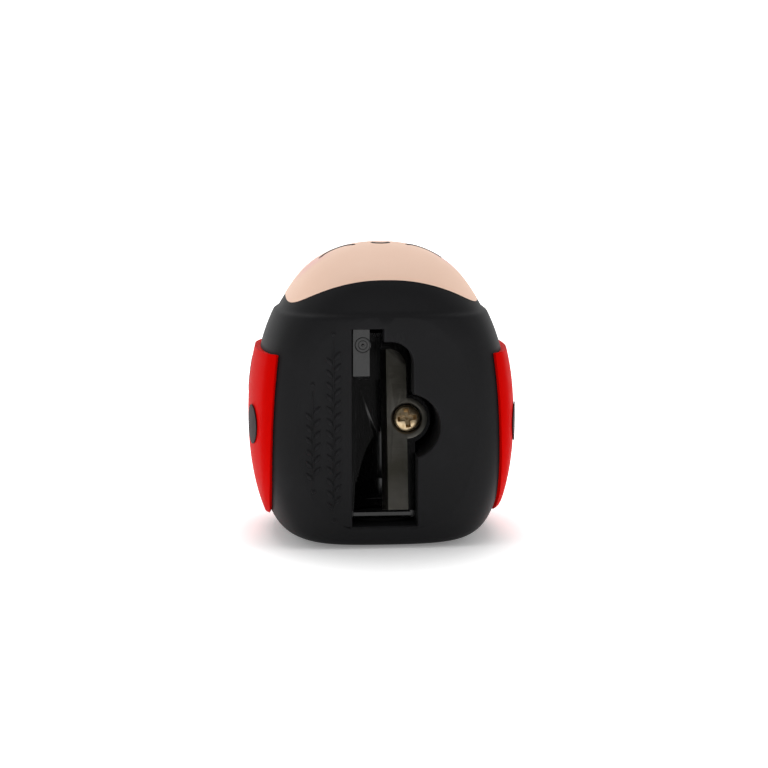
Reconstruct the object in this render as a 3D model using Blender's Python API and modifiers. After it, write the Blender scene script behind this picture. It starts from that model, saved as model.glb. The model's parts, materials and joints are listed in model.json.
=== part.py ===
"""Ladybird pencil sharpener.

A soft moulded ladybird figure holds a small wedge sharpener behind an opening in its flat belly.
The pencil goes in through the tail. Metres, +Z up: the figure stands on its flat tail with its head
up and its belly facing -Y. The origin is at the middle of the tail's underside.
"""

import math

import bmesh
import bpy
from mathutils import Matrix, Vector

MM = 0.001

# The figure: a rounded form, flattened by the belly plane and the tail plane.
BODY_HALF_WIDTH = 18.6 * MM
BODY_HALF_LENGTH = 25.2 * MM
BODY_CENTRE_HEIGHT = 17.2 * MM
BELLY_DISTANCE = 15.5 * MM
BELLY_BULGE = 7.9 * MM
WING_PROUD = 0.8 * MM
PLAN_POWER = 2.5
PROFILE_POWER = 2.25
EDGE_POWER = 14.0
FLAT_TRIM = 0.2 * MM
BODY_SEGMENTS = 48
BODY_RINGS = 24

# Named clearances.
SOFT_GAP = 0.3 * MM
METAL_GAP = 0.1 * MM
INLAY_GAP = 0.15 * MM

# Coloured layers moulded into the figure. The insets are measured in from the figure's outside.
LAYER_THICKNESS = 1.2 * MM
WING_BOTTOM = 2.4 * MM
WING_TOP_INSET = 14.9 * MM
WING_BELLY_INSET_LOW = 2.2 * MM
WING_BELLY_INSET_HIGH = 3.6 * MM
WING_PARTING = 0.9 * MM
SPOT_PROUD = 0.15 * MM
FACE_SIDE_INSET = 4.5 * MM
FACE_FRONT_INSET = 1.4 * MM
FACE_BACK_INSET = 4.2 * MM
FACE_DEPTH = 8.8 * MM
FACE_POWER = 3.4

# Spots on one wing: name, angle round from the belly, distance below the wing's top, radius.
WING_SPOTS = (
    ("side", 69.0, 10.5 * MM, 2.8 * MM),
    ("upper", 100.0, 4.7 * MM, 2.8 * MM),
    ("rear", 142.0, 15.0 * MM, 3.4 * MM),
)

# Face marks, on the dome of the head.
MARK_RADIUS = 0.3 * MM
EYE_OFFSET_X = 6.3 * MM
EYE_Y = -2.6 * MM
EYE_ARC_RADIUS = 2.5 * MM
MOUTH_Y = -2.0 * MM
MOUTH_ARC_RADIUS = 1.2 * MM
MARK_HALF_ANGLE = 75.0

# The wedge sharpener.
PENCIL_X = -0.45 * MM
PENCIL_HOLE_RADIUS = 4.1 * MM
CONE_TIP_RADIUS = 0.6 * MM
CONE_HALF_ANGLE = math.radians(11.5)
MOUTH_RING = 1.0 * MM
SHARPENER_BOTTOM = 3.7 * MM
SHARPENER_PAST_CONE = 9.1 * MM
SHARPENER_SIDE_WALL = 0.9 * MM
SHARPENER_BACK_WALL = 0.8 * MM
RISER_HEIGHT = 1.0 * MM
SHOULDER_DROP = 1.4 * MM
THROAT_PAST_CONE = 2.1 * MM
THROAT_WIDTH_UNDER_BLADE = 1.75 * MM
THROAT_LEAN = 1.0 * MM
SLOT_WIDTH = 1.85 * MM
SLOT_END_WALL = 0.8 * MM

# The blade and its screw.
BLADE_PAST_CONE = 5.8 * MM
BLADE_THICKNESS = 0.9 * MM
BLADE_RIGHT = 3.2 * MM
BLADE_CORNER_RADIUS = 2.6 * MM
BLADE_GRIND_WIDTH = 0.8 * MM
BLADE_EDGE_LAND = 0.08 * MM
SCREW_X = 3.2 * MM
SCREW_ABOVE_SEAT_START = 12.85 * MM
SCREW_SHANK_RADIUS = 1.15 * MM
SCREW_SHANK_LENGTH = 4.6 * MM
PILOT_SPARE = 0.8 * MM
SCREW_HEAD_RADIUS = 1.88 * MM
SCREW_HEAD_RISE = 0.75 * MM
SCREW_RIM_HEIGHT = 0.2 * MM
DIMPLE_RIM = 0.52 * MM
DIMPLE_BOTTOM = 0.3 * MM
LUG_WALL = 0.5 * MM
BOSS_RIM = 0.6 * MM
RECESS_HALF_LENGTH = 1.15 * MM
RECESS_HALF_WIDTH = 0.3 * MM
RECESS_DEPTH = 0.7 * MM

# The opening in the belly, which shows the blade. Its lip laps over the sharpener's edges.
LIP_THICKNESS = 3.5 * MM
LIP_OVERLAP_LEFT = 0.52 * MM
LIP_OVERLAP_RIGHT = 0.32 * MM
WINDOW_BELOW_SHARPENER = 0.46 * MM
WINDOW_ABOVE_SHARPENER = 0.1 * MM
WINDOW_ABOVE_BLADE = 1.96 * MM
WINDOW_BESIDE_BLADE = 0.4 * MM
WINDOW_CORNER_RADIUS = 3.1 * MM
SCREW_ACCESS_RIM = 1.08 * MM
SCREW_ACCESS_LEFT = 0.35 * MM
SCREW_ACCESS_DROP = 0.15 * MM

ROUND_SEGMENTS = 32
CUT_MARGIN = 2.0 * MM
CUT_OVERRUN = 0.05 * MM

# Worked out from the sizes above: the figure and its layers.
BACK_DISTANCE = BELLY_DISTANCE - WING_PROUD
BELLY_FULLNESS = BELLY_DISTANCE + BELLY_BULGE
BODY_CENTRE = Vector((0.0, 0.0, BODY_CENTRE_HEIGHT))
BODY_TOP = BODY_CENTRE_HEIGHT + BODY_HALF_LENGTH
WING_TOP = BODY_TOP - WING_TOP_INSET
WING_BELLY_EDGE_LOW = BODY_HALF_WIDTH - WING_BELLY_INSET_LOW
WING_BELLY_EDGE_HIGH = BODY_HALF_WIDTH - WING_BELLY_INSET_HIGH
FACE_HALF_WIDTH = BODY_HALF_WIDTH - FACE_SIDE_INSET
FACE_FRONT_Y = FACE_FRONT_INSET - BELLY_DISTANCE
FACE_BACK_Y = BACK_DISTANCE - FACE_BACK_INSET

# The sharpener sits behind the lip, and its cone runs on from the mouth's ring.
SEAT_START = SHARPENER_BOTTOM + MOUTH_RING
SEAT_NORMAL = Vector((0.0, -math.cos(CONE_HALF_ANGLE), math.sin(CONE_HALF_ANGLE)))
CONE_LENGTH = (PENCIL_HOLE_RADIUS - CONE_TIP_RADIUS) / math.tan(CONE_HALF_ANGLE)
CONE_END = SEAT_START + CONE_LENGTH
SHARPENER_TOP = CONE_END + SHARPENER_PAST_CONE
SHARPENER_HALF_WIDTH = PENCIL_HOLE_RADIUS + SHARPENER_SIDE_WALL
SHARPENER_SEAT_Y = LIP_THICKNESS + SOFT_GAP - BELLY_DISTANCE
PENCIL_Y = SHARPENER_SEAT_Y + PENCIL_HOLE_RADIUS + CUT_OVERRUN
SHARPENER_BACK = PENCIL_Y + PENCIL_HOLE_RADIUS + SHARPENER_BACK_WALL
TAIL_HOLE_RADIUS = PENCIL_HOLE_RADIUS + SOFT_GAP
THROAT_LEFT_AT_MOUTH = PENCIL_X - PENCIL_HOLE_RADIUS + CUT_OVERRUN
THROAT_LEFT_AT_TIP = THROAT_LEFT_AT_MOUTH + THROAT_LEAN
THROAT_RIGHT = PENCIL_X + THROAT_WIDTH_UNDER_BLADE
THROAT_END = CONE_END + THROAT_PAST_CONE
SLOT_LEFT = PENCIL_X - SLOT_WIDTH
SLOT_TOP = SHARPENER_TOP - SLOT_END_WALL

# The blade covers the cone, and each round piece at its screw clears the one inside it.
BLADE_LENGTH = CONE_LENGTH + BLADE_PAST_CONE
BLADE_TOP = SEAT_START + (BLADE_LENGTH + METAL_GAP) * math.cos(CONE_HALF_ANGLE)
SCREW_HEIGHT = SEAT_START + SCREW_ABOVE_SEAT_START
BLADE_HOLE_RADIUS = SCREW_SHANK_RADIUS + 2 * METAL_GAP
BLADE_DIMPLE_RADIUS = SCREW_HEAD_RADIUS + DIMPLE_RIM
BLADE_LUG_RADIUS = BLADE_DIMPLE_RADIUS + LUG_WALL
SCREW_BOSS_RADIUS = BLADE_LUG_RADIUS + BOSS_RIM
SEAT_RIGHT = BLADE_RIGHT + SOFT_GAP

# The opening follows the sharpener, the blade and the screw boss.
WINDOW_LEFT = PENCIL_X - SHARPENER_HALF_WIDTH + LIP_OVERLAP_LEFT
WINDOW_RIGHT = PENCIL_X + SHARPENER_HALF_WIDTH - LIP_OVERLAP_RIGHT
WINDOW_BOTTOM = SHARPENER_BOTTOM - WINDOW_BELOW_SHARPENER
WINDOW_TOP = SHARPENER_TOP + WINDOW_ABOVE_SHARPENER
WINDOW_SLOT_RIGHT = PENCIL_X - CUT_OVERRUN
WINDOW_BLADE_TOP = BLADE_TOP + WINDOW_ABOVE_BLADE
WINDOW_BLADE_RIGHT = BLADE_RIGHT + WINDOW_BESIDE_BLADE
SCREW_ACCESS_RADIUS = SCREW_BOSS_RADIUS + SCREW_ACCESS_RIM
SCREW_ACCESS_X = SCREW_X - SCREW_ACCESS_LEFT
SCREW_ACCESS_HEIGHT = SCREW_HEIGHT - SCREW_ACCESS_DROP

parts = None
cutters = None


# ---------------------------------------------------------------- scene and materials

def clear_scene():
    for item in list(bpy.data.objects):
        bpy.data.objects.remove(item, do_unlink=True)


def make_collections():
    global parts, cutters
    parts = bpy.data.collections.new("pencil_sharpener")
    cutters = bpy.data.collections.new("cutters")
    bpy.context.scene.collection.children.link(parts)
    bpy.context.scene.collection.children.link(cutters)


def make_material(name, colour, roughness, metallic=0.0):
    material = bpy.data.materials.new(name)
    material.use_nodes = True
    shader = material.node_tree.nodes["Principled BSDF"]
    shader.inputs["Base Color"].default_value = (*colour, 1.0)
    shader.inputs["Roughness"].default_value = roughness
    shader.inputs["Metallic"].default_value = metallic
    return material


# ---------------------------------------------------------------- small modelling helpers

def object_from_bmesh(name, shape):
    bmesh.ops.recalc_face_normals(shape, faces=shape.faces)
    mesh = bpy.data.meshes.new(name)
    shape.to_mesh(mesh)
    shape.free()
    return bpy.data.objects.new(name, mesh)


def as_part(item, material):
    parts.objects.link(item)
    item.data.materials.append(material)
    item.data.shade_smooth()
    item.data.set_sharp_from_angle(angle=math.radians(35.0))
    return item


def as_cutter(item):
    cutters.objects.link(item)
    item.hide_render = True
    item.display_type = "WIRE"
    return item


def add_boolean(target, cutter, operation="DIFFERENCE"):
    modifier = target.modifiers.new(f"{operation.lower()} {cutter.name}", "BOOLEAN")
    modifier.operation = operation
    modifier.solver = "EXACT"
    modifier.object = cutter


def box(name, low, high):
    """A box between two corners."""
    low = Vector(low)
    high = Vector(high)
    shape = bmesh.new()
    bmesh.ops.create_cube(shape, size=1.0)
    bmesh.ops.scale(shape, vec=high - low, verts=shape.verts)
    bmesh.ops.translate(shape, vec=(low + high) / 2, verts=shape.verts)
    return object_from_bmesh(name, shape)


def cone(name, base, direction, length, radius_base, radius_tip, segments=ROUND_SEGMENTS):
    """A cone or cylinder from a base point along a direction."""
    shape = bmesh.new()
    bmesh.ops.create_cone(
        shape, cap_ends=True, segments=segments, radius1=radius_base, radius2=radius_tip, depth=length
    )
    turn = Vector(direction).to_track_quat("Z", "Y").to_matrix().to_4x4()
    place = Matrix.Translation(Vector(base)) @ turn @ Matrix.Translation((0, 0, length / 2))
    bmesh.ops.transform(shape, matrix=place, verts=shape.verts)
    return object_from_bmesh(name, shape)


def outline_prism(name, outline, low, high):
    """A flat outline in the XY plane, drawn as a filled curve and raised from low to high."""
    curve = bpy.data.curves.new(name, "CURVE")
    curve.dimensions = "2D"
    curve.fill_mode = "BOTH"
    curve.extrude = (high - low) / 2
    spline = curve.splines.new("POLY")
    spline.points.add(len(outline) - 1)
    for point, (across, along) in zip(spline.points, outline):
        point.co = (across, along, 0.0, 1.0)
    spline.use_cyclic_u = True
    drawn = bpy.data.objects.new(f"{name} curve", curve)
    cutters.objects.link(drawn)
    shape = bmesh_from_object(drawn)
    bmesh.ops.translate(shape, vec=(0, 0, (low + high) / 2), verts=shape.verts)
    return object_from_bmesh(name, shape)


def bmesh_from_object(drawn):
    """The welded mesh of a drawn curve, which is then removed."""
    bpy.context.view_layer.update()
    evaluated = drawn.evaluated_get(bpy.context.evaluated_depsgraph_get())
    mesh = bpy.data.meshes.new_from_object(evaluated)
    shape = bmesh.new()
    shape.from_mesh(mesh)
    bmesh.ops.remove_doubles(shape, verts=shape.verts, dist=0.002 * MM)
    bmesh.ops.transform(shape, matrix=drawn.matrix_world, verts=shape.verts)
    bpy.data.objects.remove(drawn, do_unlink=True)
    bpy.data.meshes.remove(mesh)
    return shape


def arc(centre, radius, start, end, steps):
    """Points along an arc, angles in radians."""
    points = []
    for step in range(steps + 1):
        angle = start + (end - start) * step / steps
        points.append((centre[0] + radius * math.cos(angle), centre[1] + radius * math.sin(angle)))
    return points


def face_belly(item):
    """Turn a prism drawn in XY so that its outline lies in XZ and its height runs towards -Y."""
    item.data.transform(Matrix.Rotation(math.radians(90.0), 4, "X"))
    return item


# ---------------------------------------------------------------- the figure's surface

def surface_point(direction, swell=0.0):
    """Where a ray from the body's centre meets the figure's skin, swollen outwards by swell."""
    ray = Vector(direction).normalized()
    depth = (BELLY_FULLNESS if ray.y < 0 else BACK_DISTANCE) + swell
    plan = (
        abs(ray.x / (BODY_HALF_WIDTH + swell)) ** PLAN_POWER + abs(ray.y / depth) ** PLAN_POWER
    ) ** (1 / PLAN_POWER)
    shell = (
        plan**PROFILE_POWER + abs(ray.z / (BODY_HALF_LENGTH + swell)) ** PROFILE_POWER
    ) ** (1 / PROFILE_POWER)
    belly = max(-ray.y, 0.0) / (BELLY_DISTANCE + FLAT_TRIM + swell)
    tail = max(-ray.z, 0.0) / (BODY_CENTRE_HEIGHT + FLAT_TRIM + swell)
    reach = (shell**EDGE_POWER + belly**EDGE_POWER + tail**EDGE_POWER) ** (1 / EDGE_POWER)
    return BODY_CENTRE + ray / reach


def body_solid(name, swell):
    """The whole figure as a closed form, from a sphere."""
    shape = bmesh.new()
    bmesh.ops.create_uvsphere(shape, u_segments=BODY_SEGMENTS, v_segments=BODY_RINGS, radius=1.0)
    for vertex in shape.verts:
        vertex.co = surface_point(vertex.co, swell)
    bmesh.ops.triangulate(shape, faces=shape.faces)
    return object_from_bmesh(name, shape)


def head_point(across, back):
    """The point of the head's dome above a place in plan, behind the body's middle."""
    plan = (
        abs(across / BODY_HALF_WIDTH) ** PLAN_POWER + abs(back / BACK_DISTANCE) ** PLAN_POWER
    ) ** (1 / PLAN_POWER)
    rise = BODY_HALF_LENGTH * (1.0 - plan**PROFILE_POWER) ** (1 / PROFILE_POWER)
    return BODY_CENTRE + Vector((across, back, rise))


# ---------------------------------------------------------------- cutters shared by neighbours

def wing_region(name, side, grow):
    """The space that one wing fills: round the back from the parting line to the belly edge."""
    parting = WING_PARTING / 2 - grow
    far = BODY_HALF_WIDTH + 5 * CUT_MARGIN
    turn_y = 2 * CUT_MARGIN
    low = WING_BOTTOM - grow
    high = WING_TOP + grow
    outline = [
        (parting, far),
        (parting, turn_y),
        (WING_BELLY_EDGE_LOW - grow, turn_y),
        (WING_BELLY_EDGE_LOW - grow, -far),
        (far, -far),
        (far, far),
    ]
    region = outline_prism(name, [(side * x, y) for x, y in outline], low, high)
    lean = WING_BELLY_EDGE_HIGH - WING_BELLY_EDGE_LOW
    for vertex in region.data.vertices:
        on_belly_edge = abs(abs(vertex.co.x) - (WING_BELLY_EDGE_LOW - grow)) < grow / 2 + 0.01 * MM
        if on_belly_edge and vertex.co.z > BODY_CENTRE_HEIGHT:
            vertex.co.x += side * lean
    return as_cutter(region)


def spot_region(name, side, angle, drop, radius):
    """A round plug that points out of the body through a wing."""
    bearing = math.radians(angle)
    height = WING_TOP - drop
    ray = Vector((side * math.sin(bearing), -math.cos(bearing), 0.0))
    skin = surface_point(ray * BODY_HALF_WIDTH + Vector((0, 0, height - BODY_CENTRE_HEIGHT)))
    start = Vector((skin.x, skin.y, height)) - ray * 4 * MM
    return as_cutter(cone(name, start, ray, 8 * MM, radius, radius, ROUND_SEGMENTS))


def face_region(name, grow):
    """An upright column, oval with squarer corners, that bounds the face panel."""
    shape = bmesh.new()
    depth = 2 * (FACE_DEPTH + grow)
    bmesh.ops.create_cone(
        shape, cap_ends=True, segments=2 * ROUND_SEGMENTS, radius1=1.0, radius2=1.0, depth=depth
    )
    for vertex in shape.verts:
        reach = (abs(vertex.co.x) ** FACE_POWER + abs(vertex.co.y) ** FACE_POWER) ** (1 / FACE_POWER)
        vertex.co.x /= reach
        vertex.co.y /= reach
    half_depth = (FACE_BACK_Y - FACE_FRONT_Y) / 2
    bmesh.ops.scale(shape, vec=(FACE_HALF_WIDTH + grow, half_depth + grow, 1.0), verts=shape.verts)
    centre = (0.0, (FACE_BACK_Y + FACE_FRONT_Y) / 2, BODY_TOP)
    bmesh.ops.translate(shape, vec=centre, verts=shape.verts)
    return as_cutter(object_from_bmesh(name, shape))


def window_outline():
    """The belly opening's outline in X and Z."""
    centre = (SCREW_ACCESS_X, SCREW_ACCESS_HEIGHT)
    low_angle = -math.acos((WINDOW_RIGHT - SCREW_ACCESS_X) / SCREW_ACCESS_RADIUS)
    high_angle = math.acos((WINDOW_BLADE_RIGHT - SCREW_ACCESS_X) / SCREW_ACCESS_RADIUS)
    corner = (WINDOW_BLADE_RIGHT - WINDOW_CORNER_RADIUS, WINDOW_BLADE_TOP - WINDOW_CORNER_RADIUS)
    outline = [(WINDOW_LEFT, WINDOW_BOTTOM), (WINDOW_RIGHT, WINDOW_BOTTOM)]
    outline += arc(centre, SCREW_ACCESS_RADIUS, low_angle, high_angle, ROUND_SEGMENTS // 2)
    outline += arc(corner, WINDOW_CORNER_RADIUS, 0.0, math.pi / 2, ROUND_SEGMENTS // 4)
    outline += [(WINDOW_SLOT_RIGHT, WINDOW_BLADE_TOP), (WINDOW_SLOT_RIGHT, WINDOW_TOP)]
    outline += [(WINDOW_LEFT, WINDOW_TOP)]
    return outline


# ---------------------------------------------------------------- the soft figure

def make_cover(material):
    cover = as_part(body_solid("cover_body", 0.0), material)
    far = BODY_HALF_WIDTH + 5 * CUT_MARGIN
    top = BODY_TOP + CUT_MARGIN
    flats = as_cutter(box("flats", (-far, -BELLY_DISTANCE, 0.0), (far, far, top)))
    add_boolean(cover, flats, "INTERSECT")

    recess = face_region("face recess", INLAY_GAP)
    floor = as_cutter(body_solid("face floor", -LAYER_THICKNESS - SOFT_GAP))
    add_boolean(recess, floor)
    add_boolean(cover, recess)

    for side, word in ((-1, "left"), (1, "right")):
        recess = wing_region(f"wing recess {word}", side, SOFT_GAP)
        floor = as_cutter(body_solid(f"wing floor {word}", WING_PROUD - LAYER_THICKNESS - 2 * SOFT_GAP))
        add_boolean(recess, floor)
        add_boolean(cover, recess)

    lip_back = -BELLY_DISTANCE + LIP_THICKNESS
    pocket_back = SHARPENER_BACK + SOFT_GAP
    window = face_belly(
        outline_prism("window", window_outline(), CUT_OVERRUN - pocket_back, BELLY_DISTANCE + CUT_MARGIN)
    )
    add_boolean(cover, as_cutter(window))
    half_width = SHARPENER_HALF_WIDTH + SOFT_GAP
    pocket_low = (PENCIL_X - half_width, lip_back, SHARPENER_BOTTOM - SOFT_GAP)
    pocket_high = (PENCIL_X + half_width, pocket_back, SHARPENER_TOP + SOFT_GAP)
    add_boolean(cover, as_cutter(box("pocket", pocket_low, pocket_high)))
    tail_hole = cone(
        "tail hole", (PENCIL_X, PENCIL_Y, -CUT_MARGIN), (0, 0, 1),
        SHARPENER_BOTTOM + CUT_MARGIN, TAIL_HOLE_RADIUS, TAIL_HOLE_RADIUS,
    )
    add_boolean(cover, as_cutter(tail_hole))
    return cover


def make_wing(side, word, material):
    wing = as_part(body_solid(f"wing_{word}", WING_PROUD), material)
    add_boolean(wing, wing_region(f"wing edge {word}", side, 0.0), "INTERSECT")
    add_boolean(wing, as_cutter(body_solid(f"wing inside {word}", WING_PROUD - LAYER_THICKNESS)))
    for name, angle, drop, radius in WING_SPOTS:
        add_boolean(wing, spot_region(f"{name} hole {word}", side, angle, drop, radius + INLAY_GAP))
    return wing


def make_spots(side, word, material):
    for name, angle, drop, radius in WING_SPOTS:
        spot = as_part(body_solid(f"wing_spot_{name}_{word}", WING_PROUD + SPOT_PROUD), material)
        add_boolean(spot, spot_region(f"{name} edge {word}", side, angle, drop, radius), "INTERSECT")
        inside = body_solid(f"{name} inside {word}", WING_PROUD - LAYER_THICKNESS)
        add_boolean(spot, as_cutter(inside))


def make_face(material):
    face = as_part(body_solid("face_panel", 0.0), material)
    add_boolean(face, face_region("face edge", 0.0), "INTERSECT")
    add_boolean(face, as_cutter(body_solid("face inside", -LAYER_THICKNESS)))
    return face


def face_mark_points(centre_x, centre_y, radius, middle):
    """An arc on the dome, opening away from the middle angle."""
    half = math.radians(MARK_HALF_ANGLE)
    points = []
    for across, back in arc((centre_x, centre_y), radius, middle - half, middle + half, 12):
        points.append(head_point(across, back))
    return points


def mark_tube(name, points, radius):
    """A round bar with filled ends through the given points."""
    curve = bpy.data.curves.new(name, "CURVE")
    curve.dimensions = "3D"
    curve.bevel_depth = radius
    curve.bevel_resolution = 2
    curve.use_fill_caps = True
    spline = curve.splines.new("POLY")
    spline.points.add(len(points) - 1)
    for point, place in zip(spline.points, points):
        point.co = (*place, 1.0)
    drawn = bpy.data.objects.new(f"{name} curve", curve)
    cutters.objects.link(drawn)
    return object_from_bmesh(name, bmesh_from_object(drawn))


def make_face_marks(face, material):
    up = math.pi / 2
    marks = (
        ("eye_left", -EYE_OFFSET_X, EYE_Y, EYE_ARC_RADIUS, up),
        ("eye_right", EYE_OFFSET_X, EYE_Y, EYE_ARC_RADIUS, up),
        ("mouth", 0.0, MOUTH_Y, MOUTH_ARC_RADIUS, -up),
    )
    for name, centre_x, centre_y, radius, middle in marks:
        points = face_mark_points(centre_x, centre_y, radius, middle)
        as_part(mark_tube(name, points, MARK_RADIUS), material)
        ends = [points[0] * 2 - points[1], *points, points[-1] * 2 - points[-2]]
        add_boolean(face, as_cutter(mark_tube(f"{name} groove", ends, MARK_RADIUS + INLAY_GAP)))


# ---------------------------------------------------------------- the wedge sharpener

def seat_frame():
    """The matrix of the blade seat: X across, Y up along the blade, Z out of the seat."""
    across = Vector((1.0, 0.0, 0.0))
    along = Vector((0.0, math.sin(CONE_HALF_ANGLE), math.cos(CONE_HALF_ANGLE)))
    turn = Matrix((across, along, SEAT_NORMAL)).transposed().to_4x4()
    return Matrix.Translation((0.0, SHARPENER_SEAT_Y, SEAT_START)) @ turn


def screw_frame():
    """The matrix of the screw: its origin on the seat, Z out along the screw's axis."""
    up_the_seat = (SCREW_HEIGHT - SEAT_START) / math.cos(CONE_HALF_ANGLE)
    return seat_frame() @ Matrix.Translation((SCREW_X, up_the_seat, 0.0))


def boss_column(name, back, front, radius):
    """A column along the screw boss, between two depths."""
    return cone(name, (SCREW_X, back, SCREW_HEIGHT), (0, -1, 0), back - front, radius, radius)


def throat_outline():
    """The opening that shows the cone, and the narrow slot above it, in X and Z."""
    bottom = SEAT_START + CUT_OVERRUN
    return [
        (THROAT_LEFT_AT_MOUTH, bottom),
        (THROAT_RIGHT, bottom),
        (THROAT_RIGHT, THROAT_END),
        (PENCIL_X, THROAT_END),
        (PENCIL_X, SLOT_TOP),
        (SLOT_LEFT, SLOT_TOP),
        (SLOT_LEFT, THROAT_END),
        (THROAT_LEFT_AT_TIP, THROAT_END),
    ]


def add_risers(body):
    """What stands up into the belly opening: the mouth's ring, the end block and the screw boss."""
    front = SHARPENER_SEAT_Y - RISER_HEIGHT
    inside = SHARPENER_SEAT_Y + RISER_HEIGHT / 2
    riser_left = WINDOW_LEFT + SOFT_GAP
    ring = box(
        "mouth ring", (riser_left, front, SHARPENER_BOTTOM - CUT_OVERRUN), (SEAT_RIGHT, inside, SEAT_START)
    )
    block = box(
        "end block", (riser_left, front, THROAT_END), (SLOT_LEFT, inside, WINDOW_TOP - SOFT_GAP)
    )
    boss = boss_column("screw boss", SHARPENER_BACK - FLAT_TRIM, front, SCREW_BOSS_RADIUS)
    for solid in (ring, block, boss):
        add_boolean(body, as_cutter(solid), "UNION")


def cut_seat(body):
    """The sloping seat under the blade and the lower shoulder beside it."""
    seat = seat_frame()
    right = PENCIL_X + SHARPENER_HALF_WIDTH + 2 * SCREW_BOSS_RADIUS
    up = 2 * SHARPENER_TOP
    slope = box("seat cut", (PENCIL_X - CUT_OVERRUN, 0.0, 0.0), (right, up, BELLY_DISTANCE))
    slope.data.transform(seat)
    add_boolean(body, as_cutter(slope))
    shoulder = box("shoulder cut", (SEAT_RIGHT, 0.0, -SHOULDER_DROP), (right, up, BELLY_DISTANCE))
    shoulder.data.transform(seat)
    column = boss_column(
        "boss column", SHARPENER_BACK + CUT_MARGIN, -BELLY_DISTANCE, SCREW_BOSS_RADIUS - CUT_OVERRUN
    )
    add_boolean(shoulder, as_cutter(column))
    add_boolean(body, as_cutter(shoulder))


def cut_pencil_hole(body):
    """The round mouth, the cone that guides the pencil and the throat that opens it to the blade."""
    mouth = cone(
        "pencil mouth", (PENCIL_X, PENCIL_Y, SHARPENER_BOTTOM - CUT_MARGIN), (0, 0, 1),
        MOUTH_RING + CUT_MARGIN + 2 * CUT_OVERRUN, PENCIL_HOLE_RADIUS, PENCIL_HOLE_RADIUS,
    )
    point = cone(
        "pencil cone", (PENCIL_X, PENCIL_Y, SEAT_START), (0, 0, 1),
        CONE_LENGTH, PENCIL_HOLE_RADIUS, CONE_TIP_RADIUS,
    )
    throat = face_belly(
        outline_prism("throat", throat_outline(), -PENCIL_Y, BELLY_DISTANCE + CUT_MARGIN)
    )
    for cutter in (mouth, point, throat):
        add_boolean(body, as_cutter(cutter))


def make_sharpener(material):
    low = (PENCIL_X - SHARPENER_HALF_WIDTH, SHARPENER_SEAT_Y, SHARPENER_BOTTOM)
    high = (PENCIL_X + SHARPENER_HALF_WIDTH, SHARPENER_BACK, SHARPENER_TOP)
    body = as_part(box("sharpener_body", low, high), material)
    add_risers(body)
    cut_seat(body)
    cut_pencil_hole(body)
    pilot_depth = SCREW_SHANK_LENGTH + PILOT_SPARE
    pilot = cone(
        "pilot hole", (0, 0, -pilot_depth), (0, 0, 1), pilot_depth + CUT_MARGIN,
        SCREW_SHANK_RADIUS + METAL_GAP, SCREW_SHANK_RADIUS + METAL_GAP,
    )
    pilot.data.transform(screw_frame())
    add_boolean(body, as_cutter(pilot))


# ---------------------------------------------------------------- blade and screw

def blade_outline():
    """The blade's outline about the screw's axis, X across and Y up the seat."""
    left = PENCIL_X - SCREW_X
    right = BLADE_RIGHT - SCREW_X
    bottom = METAL_GAP - (SCREW_HEIGHT - SEAT_START) / math.cos(CONE_HALF_ANGLE)
    top = bottom + BLADE_LENGTH
    lug = math.acos(right / BLADE_LUG_RADIUS)
    corner = (right - BLADE_CORNER_RADIUS, top - BLADE_CORNER_RADIUS)
    outline = [(left, bottom), (right, bottom)]
    outline += arc((0.0, 0.0), BLADE_LUG_RADIUS, -lug, lug, ROUND_SEGMENTS // 2)
    outline += arc(corner, BLADE_CORNER_RADIUS, 0.0, math.pi / 2, ROUND_SEGMENTS // 4)
    outline += [(left, top)]
    return outline


def make_blade(material):
    frame = screw_frame()
    top = METAL_GAP + BLADE_THICKNESS
    blade = as_part(outline_prism("blade", blade_outline(), METAL_GAP, top), material)
    blade.matrix_world = frame

    grind_rise = BLADE_THICKNESS - BLADE_EDGE_LAND
    grind = box("edge grind", (-2 * MM, -BLADE_LENGTH, 0.0), (4 * MM, BLADE_LENGTH, 2 * MM))
    turn = Matrix.Rotation(-math.atan2(grind_rise, BLADE_GRIND_WIDTH), 4, "Y")
    edge = Matrix.Translation((PENCIL_X - SCREW_X, 0.0, METAL_GAP + BLADE_EDGE_LAND))
    grind.data.transform(frame @ edge @ turn)

    hole = cone("blade hole", (0, 0, -MM), (0, 0, 1), 4 * MM, BLADE_HOLE_RADIUS, BLADE_HOLE_RADIUS)
    hole.data.transform(frame)
    dimple = cone(
        "blade dimple", (0, 0, DIMPLE_BOTTOM), (0, 0, 1), top + METAL_GAP - DIMPLE_BOTTOM,
        BLADE_HOLE_RADIUS, BLADE_DIMPLE_RADIUS,
    )
    dimple.data.transform(frame)
    for cutter in (grind, hole, dimple):
        add_boolean(blade, as_cutter(cutter))


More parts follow.
